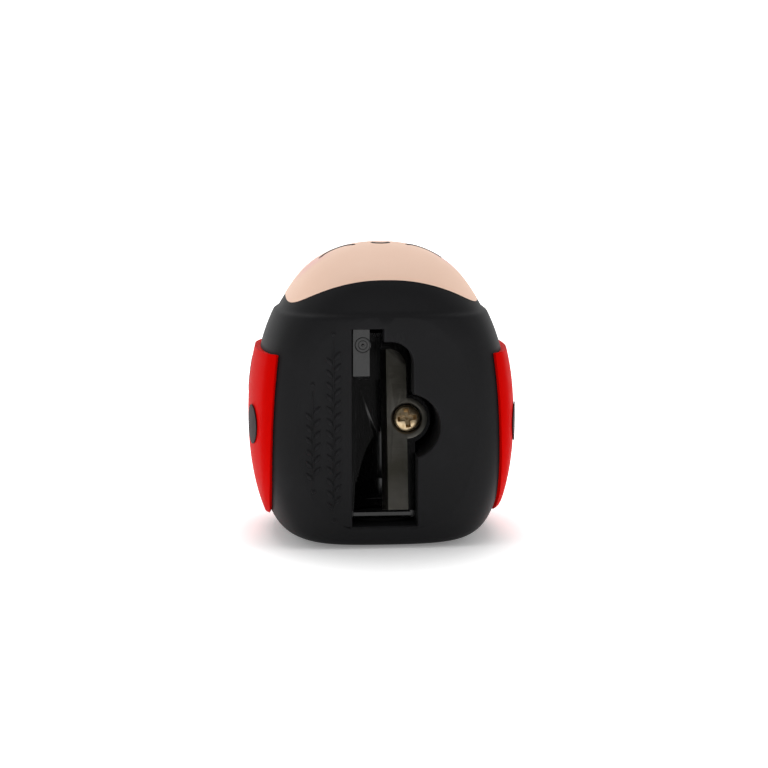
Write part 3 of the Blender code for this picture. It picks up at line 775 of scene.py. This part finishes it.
@dataclass
class LeafTrim:
    """Raised leaves along two stems beside the window, moulded with the cover."""

    form: FigureForm = FORM
    long_stem_x: float = -7.5 * MM
    long_stem_span: tuple[float, float] = (5.2 * MM, 29.6 * MM)
    short_stem_x: float = -10.4 * MM
    short_stem_span: tuple[float, float] = (9.4 * MM, 22.6 * MM)
    leaf_length: float = 1.5 * MM
    leaf_width: float = 0.62 * MM
    leaf_pitch: float = 1.7 * MM
    leaf_lean: float = 38.0
    stem_width: float = 0.22 * MM
    height: float = 0.2 * MM
    dot_radius: float = 0.3 * MM
    dot_gaps: Pair = (1.0 * MM, 0.9 * MM)
    first_leaf: float = 0.5 * MM
    pinch: float = 0.55
    pinch_power: float = 1.5

    def leaf(self, shape: BMesh, x: float, z: float, side: int) -> None:
        """Add one leaf with its foot beside the stem, on the left (-1) or the right (1)."""
        half = self.leaf_length / 2
        made = ellipsoid(shape, 14, 8, (self.leaf_width / 2, self.height, half))
        for vertex in made:
            vertex.co.x *= 1.0 - self.pinch * abs(vertex.co.z / half) ** self.pinch_power
            vertex.co.z += half
        rotate(shape, side * self.leaf_lean, "Y", made)
        foot = Vector((x + side * self.stem_width / 2, -self.form.belly, z))
        bmesh.ops.translate(shape, vec=foot, verts=made)

    def dot(self, shape: BMesh, x: float, z: float) -> None:
        """Add a small round bead at a stem's end."""
        made = ellipsoid(shape, 16, 8, (self.dot_radius, self.height, self.dot_radius))
        bmesh.ops.translate(shape, vec=(x, -self.form.belly, z), verts=made)

    def stem(self, shape: BMesh, x: float, low: float, high: float) -> None:
        """Add one stem with its leaves and end beads."""
        made = bmesh.ops.create_uvsphere(shape, u_segments=12, v_segments=24, radius=1.0)["verts"]
        half = (high - low) / 2
        for vertex in made:
            vertex.co.z = math.copysign(abs(vertex.co.z) ** 0.5, vertex.co.z)
        bmesh.ops.scale(shape, vec=(self.stem_width / 2, self.height * 0.8, half), verts=made)
        bmesh.ops.translate(shape, vec=(x, -self.form.belly, low + half), verts=made)
        count = int((high - low - self.leaf_length) / self.leaf_pitch)
        for number in range(count):
            foot = low + self.first_leaf + number * self.leaf_pitch
            self.leaf(shape, x, foot, -1)
            self.leaf(shape, x, foot + self.leaf_pitch / 2, 1)
        self.dot(shape, x, low - self.dot_gaps[0])
        self.dot(shape, x, high + self.dot_gaps[1])

    def build(self) -> None:
        """Make the trim."""
        shape = bmesh.new()
        self.stem(shape, self.long_stem_x, *self.long_stem_span)
        self.stem(shape, self.short_stem_x, *self.short_stem_span)
        face_out(shape)
        link_piece(shape, "leaf_trim", BLACK_VINYL, Body.FIGURE)


@dataclass
class Wing:
    """One red wing case with its three spots, standing proud of the cover."""

    side: Side
    form: FigureForm = FORM
    bottom: float = 2.4 * MM
    top: float = 27.5 * MM
    belly_inset_low: float = 1.75 * MM
    belly_inset_high: float = 2.9 * MM
    belly_edge_power: float = 2.5
    parting: float = 0.9 * MM
    sunk: float = 0.12 * MM
    rounding: float = 0.3 * MM
    tip_radius: float = 4.5 * MM
    edge_fade: float = 2.0 * MM
    columns: int = 150
    rows: int = 96
    spot_proud: float = 0.07 * MM
    rounds: int = 22
    spot_rounds: int = 24
    spot_search: float = 4.0 * MM
    spots: tuple[tuple[str, float, float, float], ...] = (
        ("side", 65.0, 17.0 * MM, 2.8 * MM),
        ("upper", 100.0, 22.8 * MM, 2.8 * MM),
        ("rear", 142.0, 12.5 * MM, 3.4 * MM),
    )

    def bearing_range(self, height: float) -> Pair:
        """The bearings of the belly edge and the parting line at a height."""
        share = ((height - self.bottom) / (self.top - self.bottom)) ** self.belly_edge_power
        inset = self.belly_inset_low + (self.belly_inset_high - self.belly_inset_low) * share
        edge = self.form.half_width - inset
        proud = self.form.wing_proud
        first = bisect(
            0.0, math.radians(95), lambda b: self.form.skin_at(b, height, proud).x > edge,
            self.rounds,
        )
        last = bisect(
            math.radians(120), math.pi,
            lambda b: self.form.skin_at(b, height, proud).x < self.parting / 2, self.rounds,
        )
        return first, last

    def patch(self) -> BMesh:
        """The wing's outer skin: a grid laid from the belly edge to the parting line."""
        shape = bmesh.new()
        bmesh.ops.create_grid(shape, x_segments=self.columns, y_segments=self.rows, size=1.0)
        lines: dict[float, Pair] = {}
        width = self.form.half_width * 2
        for vertex in shape.verts:
            across, up = (vertex.co.x + 1) / 2, (vertex.co.y + 1) / 2
            past = max(across - 1 + self.tip_radius / width, 0.0) * width / self.tip_radius
            tip = self.tip_radius * (1 - math.sqrt(max(1 - past * past, 0.0)))
            height = self.bottom + tip + (self.top - self.bottom - tip) * up
            key = round(height, 7)
            if key not in lines:
                lines[key] = self.bearing_range(height)
            first, last = lines[key]
            bearing = first + (last - first) * across
            from_edge = (bearing - first) * self.form.half_width
            level = smooth_step(from_edge, -self.edge_fade, self.edge_fade)
            vertex.co = self.form.skin_at(bearing, height, self.form.wing_proud * level)
        return shape

    def mirror(self, shape: BMesh) -> None:
        """Lay a right-hand shape on the wing's own side."""
        bmesh.ops.scale(shape, vec=(self.side.value, 1, 1), verts=shape.verts)
        face_out(shape)

    def spot(self, angle: float, height: float, radius: float) -> BMesh:
        """A thin round spot on the right-hand wing, at a bearing from the belly in degrees."""
        bearing = math.radians(angle)
        way = Vector((math.sin(bearing), -math.cos(bearing), 0.0))
        across = Vector((math.cos(bearing), math.sin(bearing), 0.0))
        proud = self.form.wing_proud
        shape = dome(64, 24)
        centre = self.form.skin_at(bearing, height, proud)
        for vertex in shape.verts:
            place = centre + across * vertex.co.x * radius + Vector((0, 0, vertex.co.y * radius))
            ray = place - self.form.centre
            far = bisect(
                -self.spot_search, self.spot_search,
                lambda shift: self.form.reach(ray + way * shift, proud) > 1.0, self.spot_rounds,
            )
            vertex.co = place + way * (far + self.spot_proud)
        return shape

    def build(self) -> None:
        """Make the wing and its spots."""
        word = self.side.name.lower()
        shape = self.patch()
        thicken(shape, self.form.wing_proud + self.sunk, self.rounding)
        self.mirror(shape)
        link_piece(shape, f"wing_case_{word}", RED_VINYL, Body.FIGURE, [f"wing_{word}"])
        for name, angle, height, radius in self.spots:
            shape = self.spot(angle, height, radius)
            thicken(shape, self.spot_proud * 2, self.spot_proud * 0.8, 2)
            self.mirror(shape)
            stands_for = [f"wing_spot_{name}_{word}"]
            link_piece(shape, f"spot_{name}_{word}", SPOT_VINYL, Body.FIGURE, stands_for)


@dataclass
class Face:
    """The peach face on the head's dome, with two closed eyes and a small smile."""

    form: FigureForm = FORM
    half_width: float = 14.1 * MM
    front: float = -14.1 * MM
    back: float = 10.5 * MM
    power: float = 3.4
    proud: float = 0.06 * MM
    mark_half_width: float = 0.3 * MM
    mark_rise: float = 0.12 * MM
    mark_rounding: float = 0.084 * MM
    rounding: float = 0.054 * MM
    half_angle: float = 75.0
    marks: tuple[tuple[str, float, float, float, float], ...] = (
        ("eye_left", -6.3 * MM, -3.2 * MM, 2.5 * MM, 90.0),
        ("eye_right", 6.3 * MM, -3.2 * MM, 2.5 * MM, 90.0),
        ("mouth", 0.0, -2.0 * MM, 1.2 * MM, -90.0),
    )

    def panel(self) -> BMesh:
        """The panel's outer skin: a disc drawn out to the panel's oval and laid on the dome."""
        shape = dome(160, 100)
        middle = (self.front + self.back) / 2
        half_depth = (self.back - self.front) / 2
        for vertex in shape.verts:
            x, y = vertex.co.x, vertex.co.y
            corner = (abs(x) ** self.power + abs(y) ** self.power) ** (1 / self.power)
            spread = math.hypot(x, y) / corner if corner > 0.0 else 1.0
            across = x * spread * self.half_width
            back = middle + y * spread * half_depth
            vertex.co = self.form.dome_at(across, back, self.proud)
        return shape

    def mark(self, x: float, y: float, radius: float, middle: float) -> BMesh:
        """One curved mark: a low bar swept round an arc and laid on the head's dome.

        Args:
            x: The arc's centre, across.
            y: The arc's centre, back.
            radius: The arc's radius.
            middle: The angle of the arc's middle, in degrees.
        """
        shape = bmesh.new()
        section = bmesh.ops.create_circle(shape, cap_ends=True, segments=16, radius=1.0)["verts"]
        rotate(shape, 90.0, "X", section)
        bmesh.ops.scale(shape, vec=(self.mark_half_width, 1.0, self.mark_rise), verts=section)
        bmesh.ops.translate(shape, vec=(radius, 0, 0), verts=section)
        rotate(shape, middle - self.half_angle, "Z", section)
        bmesh.ops.spin(
            shape, geom=[*shape.verts, *shape.edges, *shape.faces], cent=(0, 0, 0), axis=(0, 0, 1),
            angle=math.radians(2 * self.half_angle), steps=28, use_merge=False,
        )
        bmesh.ops.remove_doubles(shape, verts=shape.verts, dist=FINE_WELD)
        for end in [face for face in shape.faces if len(face.verts) > 4]:
            bevel_edges(shape, end.edges, self.mark_rounding, 2)
        for vertex in shape.verts:
            on_dome = self.form.dome_at(x + vertex.co.x, y + vertex.co.y, self.proud)
            vertex.co = on_dome + Vector((0, 0, vertex.co.z))
        face_out(shape)
        return shape

    def build(self) -> None:
        """Make the face panel and its marks."""
        shape = self.panel()
        thicken(shape, 4 * self.proud, self.rounding, 2)
        face_out(shape)
        link_piece(shape, "face", PEACH_VINYL, Body.FIGURE, ["face_panel"])
        for name, *curve in self.marks:
            link_piece(self.mark(*curve), f"{name}_line", MARK_VINYL, Body.FIGURE, [name])


# ---------------------------------------------------------------- the wedge sharpener


@dataclass
class WedgeSharpener:
    """The glossy black wedge that guides the pencil and carries the blade."""

    pencil_x: float = -0.45 * MM
    hole_radius: float = 4.1 * MM
    tip_radius: float = 0.6 * MM
    half_angle: float = 11.5
    half_width: float = 5.0 * MM
    riser: float = 1.0 * MM
    seat_y: float = -11.7 * MM
    seat_start: float = 4.7 * MM
    seat_right: float = 3.5 * MM
    shoulder_drop: float = 1.4 * MM
    guide_length: float = 3.2 * MM
    throat_right: float = 1.3 * MM
    throat_left_low: float = -4.5 * MM
    throat_left_high: float = -3.5 * MM
    throat_end: float = 24.0 * MM
    slot_left: float = -2.3 * MM
    slot_wall: float = 0.8 * MM
    slot_depth: float = 2.5 * MM
    ring_chamfer: float = 0.55 * MM
    boss_radius: float = 3.5 * MM
    riser_left: float = -4.63 * MM
    rounding: float = 0.1 * MM
    overrun: float = 0.05 * MM
    mark_x: float = -3.25 * MM
    mark_height: float = 28.6 * MM
    mark_rings: tuple[Pair, ...] = ((1.05 * MM, 0.09 * MM), (0.62 * MM, 0.07 * MM))
    mark_bead: Place = (0.22 * MM, 0.11 * MM, 0.22 * MM)
    pilot_radius: float = 1.25 * MM
    pilot_depth: float = 5.4 * MM
    end_inset: float = 0.2 * MM
    clear: float = 15.0 * MM
    cut_margin: float = 1.0 * MM

    def block(self) -> tuple[Vector, Vector]:
        """The corners of the plain block behind the window, without its risers."""
        low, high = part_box("sharpener_body")
        left = Vector((self.pencil_x - self.half_width, self.seat_y, low.z + self.overrun))
        return left, Vector((self.pencil_x + self.half_width, high.y, high.z))

    def pencil_axis(self) -> Vector:
        """A point on the pencil's axis, at the tail."""
        return Vector((self.pencil_x, self.seat_y + self.hole_radius + self.overrun, 0.0))

    def seat(self) -> Matrix:
        """The blade seat's frame: X across, Y up along the blade, Z out of the seat."""
        angle = math.radians(self.half_angle)
        along = Vector((0.0, math.sin(angle), math.cos(angle)))
        normal = Vector((0.0, -math.cos(angle), math.sin(angle)))
        turn = Matrix((Vector((1.0, 0.0, 0.0)), along, normal)).transposed().to_4x4()
        return Matrix.Translation((0.0, self.seat_y, self.seat_start)) @ turn

    def along_seat(self, height: float) -> float:
        """How far up the seat a height lies, measured square to the seat."""
        return (height - self.seat_start) * math.cos(math.radians(self.half_angle))

    def throat(self) -> list[BMesh]:
        """The well beside the blade, sunk parallel to the seat, and the narrow slot beyond it."""
        top = self.along_seat(self.block()[1].z - self.slot_wall)
        end = self.along_seat(self.throat_end)
        sides = [
            (self.throat_left_low, self.overrun), (self.throat_right, self.overrun),
            (self.throat_right, end), (self.throat_left_high, end),
        ]
        strip = [
            (self.slot_left, self.overrun), (self.pencil_x, self.overrun), (self.pencil_x, top),
            (self.slot_left, top),
        ]
        well = prism(sides, -self.hole_radius, 5 * self.riser)
        slot = prism(strip, -self.slot_depth, 8 * self.riser)
        return [moved(shape, self.seat()) for shape in (well, slot)]

    def risers(self) -> list[BMesh]:
        """What stands up into the window: the mouth's ring, the end block and the screw boss."""
        low, high = self.block()
        front = self.seat_y - self.riser
        inside = self.seat_y + self.riser / 2
        axis = screw_axis()
        bottom = low.z - self.overrun
        ring = box((self.riser_left, front, bottom), (self.seat_right, inside, self.seat_start))
        under = [
            edge for edge in ring.edges
            if all(v.co.z < low.z and abs(v.co.y - front) < self.overrun for v in edge.verts)
        ]
        bevel_edges(ring, under, self.ring_chamfer, 1)
        top = high.z - self.end_inset
        block = box((self.riser_left, front, self.throat_end), (self.slot_left, inside, top))
        deep = high.y - 4 * self.overrun
        boss = cylinder((axis.x, deep, axis.z), (0, -1, 0), deep - front, self.boss_radius)
        return [ring, block, boss]

    def seat_cuts(self) -> list[BMesh]:
        """The sloping seat, and the lower shoulder to its right round the boss."""
        low, high = self.block()
        axis = screw_axis()
        far = high.x + 2 * self.boss_radius
        up = 2 * high.z
        left_end = self.along_seat(self.throat_end)
        slope, left_slope, shoulder = (
            moved(box(start, end), self.seat())
            for start, end in (
                ((self.pencil_x - self.overrun, 0, 0), (far, up, self.clear)),
                ((low.x - self.riser, self.overrun, 0), (self.pencil_x, left_end, self.clear)),
                ((self.seat_right, 0, -self.shoulder_drop), (far, up, self.clear)),
            )
        )
        back = (axis.x, high.y + self.cut_margin, axis.z)
        column = cylinder(back, (0, -1, 0), 2 * self.clear, self.boss_radius - self.overrun)
        return [slope, left_slope, combine(shoulder, [column], Operation.CUT)]

    def bores(self) -> list[BMesh]:
        """The pencil's mouth and guide bore, the cone, the throat and the screw's hole."""
        pencil = self.pencil_axis()
        taper = math.tan(math.radians(self.half_angle))
        cone_length = (self.hole_radius - self.tip_radius) / taper
        start, up, overrun = self.seat_start, (0, 0, 1), self.overrun
        mouth = cylinder(
            (pencil.x, pencil.y, self.cut_margin), up, start + 2 * overrun - self.cut_margin,
            self.hole_radius,
        )
        guide = cylinder(
            (pencil.x, pencil.y, start - overrun), up, self.guide_length + overrun,
            self.hole_radius - overrun,
        )
        point = cone(
            (pencil.x, pencil.y, start), up, cone_length, self.hole_radius, self.tip_radius
        )
        pilot = cylinder((0, 0, -self.pilot_depth), up, self.clear, self.pilot_radius)
        return [mouth, point, guide, *self.throat(), moved(pilot, screw_frame(self))]

    def end_mark(self) -> BMesh:
        """The small raised rings and bead on the end block."""
        shape = bmesh.new()
        ellipsoid(shape, 16, 10, self.mark_bead)
        for radius, width in self.mark_rings:
            section = arc((radius, 0.0), width, math.pi / 2, math.pi * 2.3, 9)
            ring = lathe(section, 40, closed=True)
            rotate(ring, 90.0, "X")
            mesh = bpy.data.meshes.new("ring")
            ring.to_mesh(mesh)
            ring.free()
            shape.from_mesh(mesh)
            bpy.data.meshes.remove(mesh)
        place = (self.mark_x, self.seat_y - self.riser, self.mark_height)
        face_out(shape)
        return moved(shape, Matrix.Translation(place))

    def build(self) -> None:
        """Make the wedge and the mark on its end block."""
        shape = combine(box(*self.block()), self.risers(), Operation.JOIN)
        shape = combine(shape, [*self.seat_cuts(), *self.bores()], Operation.CUT)
        settle(shape, WELD)
        bevel_edges(shape, sharp_edges(shape, 35.0), self.rounding, 2)
        link_piece(
            shape, "wedge", GLOSS_STYRENE, Body.FIGURE, ["sharpener_body"], crease=30.0,
            weighted=True,
        )
        link_piece(self.end_mark(), "end_mark", GLOSS_STYRENE, Body.FIGURE)


def screw_axis() -> Vector:
    """The point where the screw's axis meets the blade seat, from the screw's joint."""
    joint = next(joint for joint in frame["joints"] if joint["name"] == "screw_turn")
    return Vector(joint["pos_m"])


def screw_frame(wedge: WedgeSharpener) -> Matrix:
    """The screw's frame: its origin on the seat, Z out along the screw's axis."""
    return Matrix.Translation(screw_axis()) @ wedge.seat().to_3x3().to_4x4()


@dataclass
class Blade:
    """The ground steel blade, with a round lug for its screw and one ground cutting edge."""

    wedge: WedgeSharpener
    gap: float = 0.1 * MM
    thickness: float = 0.9 * MM
    length: float = 23.0 * MM
    right: float = 3.2 * MM
    corner_radius: float = 2.6 * MM
    lug_radius: float = 2.9 * MM
    grind_width: float = 0.8 * MM
    edge_land: float = 0.08 * MM
    hole_radius: float = 1.35 * MM
    dimple_radius: float = 2.4 * MM
    dimple_bottom: float = 0.3 * MM
    rounding: float = 0.05 * MM
    edge_margin: float = 0.01 * MM
    hole_reach: float = 3.0 * MM

    def outline(self) -> list[Pair]:
        """The blade's outline about the screw's axis, X across and Y up the seat."""
        axis = screw_axis()
        left = self.wedge.pencil_x - axis.x
        right = self.right - axis.x
        up = math.cos(math.radians(self.wedge.half_angle))
        bottom = self.gap - (axis.z - self.wedge.seat_start) / up
        top = bottom + self.length
        lug = math.acos(right / self.lug_radius)
        corner = (right - self.corner_radius, top - self.corner_radius)
        outline = [(left, bottom), (right, bottom)]
        outline += arc((0.0, 0.0), self.lug_radius, -lug, lug, 48)
        outline += arc(corner, self.corner_radius, 0.0, math.pi / 2, 24)
        outline += [(left, top)]
        return outline

    def build(self) -> None:
        """Make the blade."""
        top = self.gap + self.thickness
        shape = prism(self.outline(), self.gap, top)
        left = self.wedge.pencil_x - screw_axis().x
        rise = self.thickness - self.edge_land
        edge_top = (left, 0, self.gap + self.edge_land)
        slice_off(shape, edge_top, (-rise, 0, self.grind_width), 0.0001 * MM)
        close_cut(shape)
        face_out(shape)
        hole = cylinder((0, 0, -self.gap), (0, 0, 1), self.hole_reach, self.hole_radius)
        dimple = cone(
            (0, 0, self.dimple_bottom), (0, 0, 1), top + self.gap - self.dimple_bottom,
            self.hole_radius, self.dimple_radius,
        )
        shape = combine(shape, [hole, dimple], Operation.CUT)
        settle(shape, FINE_WELD)
        blunt = [
            edge for edge in sharp_edges(shape, 28.0)
            if min(vertex.co.x for vertex in edge.verts) > left + self.edge_margin
        ]
        bevel_edges(shape, blunt, self.rounding, 2)
        moved(shape, screw_frame(self.wedge))
        link_piece(
            shape, "ground_blade", BLADE_STEEL, Body.BLADE, ["blade"], crease=25.0, weighted=True
        )


@dataclass
class Screw:
    """The round-headed screw with a cross recess, which holds the blade."""

    wedge: WedgeSharpener
    head_radius: float = 1.88 * MM
    head_rise: float = 0.75 * MM
    head_flatness: float = 0.72
    rim_height: float = 0.2 * MM
    rim_low: float = 0.88 * MM
    neck_low: float = 0.36 * MM
    shank_radius: float = 1.15 * MM
    core_radius: float = 0.86 * MM
    shank_length: float = 4.6 * MM
    pitch: float = 0.9 * MM
    arm_length: float = 1.5 * MM
    arm_width: float = 0.36 * MM
    recess_depth: float = 1.15 * MM
    recess_turn: float = 6.0
    arm_taper: Pair = (0.62, 1.0)
    arm_width_taper: Pair = (0.75, 1.05)
    recess_clear: float = 0.1 * MM
    point_drop: float = 0.3 * MM
    point_radii: Pair = (0.1 * MM, 0.85 * MM)
    rounding: float = 0.04 * MM
    head_steps: int = 16
    run_out: Pair = (0.1 * MM, -0.15 * MM)
    thread_turns: int = 4
    thread_start: float = 0.3 * MM
    thread_half_width: float = 0.2 * MM
    thread_root: float = 0.92

    def head_top(self) -> float:
        """The height of the head above the seat."""
        return self.rim_low + self.rim_height + self.head_rise

    def profile(self) -> list[Pair]:
        """Half of the screw's section, from the head's top down to the tip."""
        rim_top = self.rim_low + self.rim_height
        profile = []
        for step in range(self.head_steps + 1):
            angle = math.pi / 2 * step / self.head_steps
            out, up = math.sin(angle), max(math.cos(angle), 0.0)
            rise = self.head_rise * up ** self.head_flatness
            profile.append((self.head_radius * out, rim_top + rise))
        profile += [(self.head_radius, self.rim_low), (self.shank_radius, self.neck_low)]
        profile += zip((self.shank_radius, self.core_radius), self.run_out)
        profile += [(self.core_radius, self.core_radius / 2 - self.shank_length)]
        profile += [(self.core_radius / 2, -self.shank_length), (0.0, -self.shank_length)]
        return profile

    def recess(self) -> list[BMesh]:
        """The cross recess: two tapered arms and a pointed middle."""
        top = self.head_top() + self.recess_clear
        low = self.head_top() - self.recess_depth
        arms = []
        for turn in (0.0, 90.0):
            arm = box((-1, -1, low), (1, 1, top))
            for vertex in arm.verts:
                end = int(vertex.co.z > (low + top) / 2)
                vertex.co.x *= self.arm_length * self.arm_taper[end]
                vertex.co.y *= self.arm_width * self.arm_width_taper[end]
            rotate(arm, self.recess_turn + turn, "Z")
            arms.append(arm)
        bottom = low - self.point_drop
        middle = cone((0, 0, bottom), (0, 0, 1), top - bottom, *self.point_radii, segments=4)
        rotate(middle, self.recess_turn, "Z")
        return [*arms, middle]

    def thread(self) -> BMesh:
        """The thread's ridge, a small triangle wound up the shank."""
        steps_per_turn = 32
        shape = bmesh.new()
        low, half = self.thread_start - self.shank_length, self.thread_half_width
        inner, outer = self.core_radius * self.thread_root, self.shank_radius
        section = [(inner, low - half), (outer, low), (inner, low + half)]
        corners = [shape.verts.new((radius, 0.0, height)) for radius, height in section]
        face = shape.faces.new(corners)
        bmesh.ops.spin(
            shape, geom=[face, *face.edges, *corners], cent=(0, 0, 0), axis=(0, 0, 1),
            dvec=(0, 0, self.pitch / steps_per_turn), angle=2 * math.pi * self.thread_turns,
            steps=steps_per_turn * self.thread_turns, use_duplicate=False,
        )
        bmesh.ops.remove_doubles(shape, verts=shape.verts, dist=FINE_WELD / 2)
        face_out(shape)
        return shape

    def build(self) -> None:
        """Make the screw and its thread."""
        shape = combine(lathe(self.profile(), 96), self.recess(), Operation.CUT)
        settle(shape, FINE_WELD)
        on_head = [
            edge for edge in sharp_edges(shape, 35.0)
            if min(vertex.co.z for vertex in edge.verts) > self.rim_low
        ]
        bevel_edges(shape, on_head, self.rounding, 2)
        place = screw_frame(self.wedge)
        moved(shape, place)
        link_piece(shape, "cross_screw", SCREW_PLATE, Body.SCREW, ["blade_screw"], crease=40.0)
        link_piece(moved(self.thread(), place), "screw_thread", SCREW_PLATE, Body.SCREW)


# ---------------------------------------------------------------- the studio


@dataclass
class Softbox:
    """One soft light."""

    name: str
    place: Place
    aim: Place
    width: float
    height: float
    power: float

    def build(self) -> None:
        """Hang the light."""
        light = bpy.data.lights.new(self.name, "AREA")
        light.shape = "RECTANGLE"
        light.size, light.size_y = self.width, self.height
        light.energy = self.power
        lamp = bpy.data.objects.new(self.name, light)
        lamp.location = self.place
        way = Vector(self.aim) - Vector(self.place)
        lamp.rotation_euler = way.to_track_quat("-Z", "Y").to_euler()
        bpy.context.scene.collection.objects.link(lamp)


@dataclass
class Studio:
    """A pale sweep, soft lights and the camera."""

    azimuth: float = -4.5
    elevation: float = 8.0
    distance: float = 250.0 * MM
    aim: Place = (0.72 * MM, 0.0, 21.3 * MM)
    focal_length: float = 79.0
    # The floor glows as painted light. The glow is weakest near the figure, so the dim patch paints
    # shade into its contact shadow; distances are squashed so the patch reaches further in front and
    # behind than to the sides.
    painted_glow_far: float = 0.9
    painted_glow_near: float = 0.2
    painted_shade_reach: Pair = (14.0 * MM, 45.0 * MM)
    painted_shade_shape: Place = (1.3, 0.8, 0.0)
    floor_size: float = 60.0
    backdrop_strength: float = 0.6
    sky_strength: float = 0.62
    front_strength: float = 0.12

    def floor(self) -> None:
        """Lay the floor: white paper with a barely visible tooth, which glows as painted light and
        glows less near the figure, painting shade round its contact shadow.
        """
        shape = bmesh.new()
        bmesh.ops.create_grid(shape, x_segments=8, y_segments=8, size=self.floor_size)
        mesh = bpy.data.meshes.new("floor")
        shape.to_mesh(mesh)
        shape.free()
        material, tree, shader, place = new_material("white background paper")
        colour = blend(tree, noise(tree, place, 0.8 * MM, 2.0), "#f7f7f7", "#fbfbfb")
        # Painted light and shade: the floor's glow rises from weak near the figure to strong further
        # out.
        near = add_node(tree, "VectorMath", {0: place, 1: self.painted_shade_shape}, operation="MULTIPLY")
        away = add_node(tree, "VectorMath", {0: near["Vector"]}, operation="LENGTH")
        glow = (self.painted_glow_near, self.painted_glow_far)
        feed(tree, shader, {
            "Base Color": colour,
            "Roughness": 0.9,
            "Specular IOR Level": 0.1,
            "Emission Color": colour,
            "Emission Strength": spread(tree, away["Value"], self.painted_shade_reach, glow, "SMOOTHSTEP"),
        })
        mesh.materials.append(material)
        floor = bpy.data.objects.new("floor", mesh)
        bpy.context.scene.collection.objects.link(floor)

    def world(self) -> None:
        """Light the room: bright above and behind, dimmer in front."""
        world = bpy.data.worlds.new("studio")
        world.use_nodes = True
        tree = world.node_tree
        way = add_node(tree, "TexCoord", {})["Generated"]
        facing = add_node(tree, "SeparateXYZ", {"Vector": way})["Y"]
        room = spread(tree, facing, (-0.8, 0.3), (self.front_strength, self.sky_strength))
        backdrop = spread(tree, facing, (0.75, 0.92), (0.0, self.backdrop_strength))
        strength = add_node(tree, "Math", {0: room, 1: backdrop}, operation="ADD")["Value"]
        sky = {"Color": linear("#ffffff"), "Strength": strength}
        feed(tree, tree.nodes["Background"], sky)
        bpy.context.scene.world = world
        bpy.context.scene.view_settings.view_transform = "Standard"

    def lights(self) -> None:
        """Hang the softboxes."""
        middle = (0.0, 0.0, 20 * MM)
        Softbox("top softbox", (0.0, 0.08, 0.55), middle, 0.5, 0.4, 1.65).build()
        Softbox("left softbox", (-0.5, -0.2, 0.25), middle, 0.25, 0.35, 0.3).build()
        Softbox("right softbox", (0.5, -0.15, 0.25), middle, 0.25, 0.35, 0.25).build()

    def camera(self) -> None:
        """Set up the camera."""
        data = bpy.data.cameras.new("camera")
        data.lens = self.focal_length
        data.sensor_width = 36.0
        data.clip_start, data.clip_end = 5 * MM, 20.0
        camera = bpy.data.objects.new("camera", data)
        turn, tilt = math.radians(self.azimuth), math.radians(self.elevation)
        back = Vector(
            (math.sin(turn) * math.cos(tilt), -math.cos(turn) * math.cos(tilt), math.sin(tilt))
        )
        camera.location = Vector(self.aim) + back * self.distance
        camera.rotation_euler = (-back).to_track_quat("-Z", "Y").to_euler()
        bpy.context.scene.collection.objects.link(camera)
        bpy.context.scene.camera = camera

    def build(self) -> None:
        """Set up the whole studio."""
        self.floor()
        self.world()
        self.lights()
        self.camera()


def main() -> None:
    """Build every sub-assembly, then the studio."""
    logging.basicConfig(level=logging.INFO, format="%(name)s: %(message)s")
    wedge = WedgeSharpener()
    for assembly in (
        Cover(wedge), LeafTrim(), Wing(Side.LEFT), Wing(Side.RIGHT), Face(), wedge, Blade(wedge),
        Screw(wedge), Studio(),
    ):
        assembly.build()


if __name__ == "__main__":
    main()
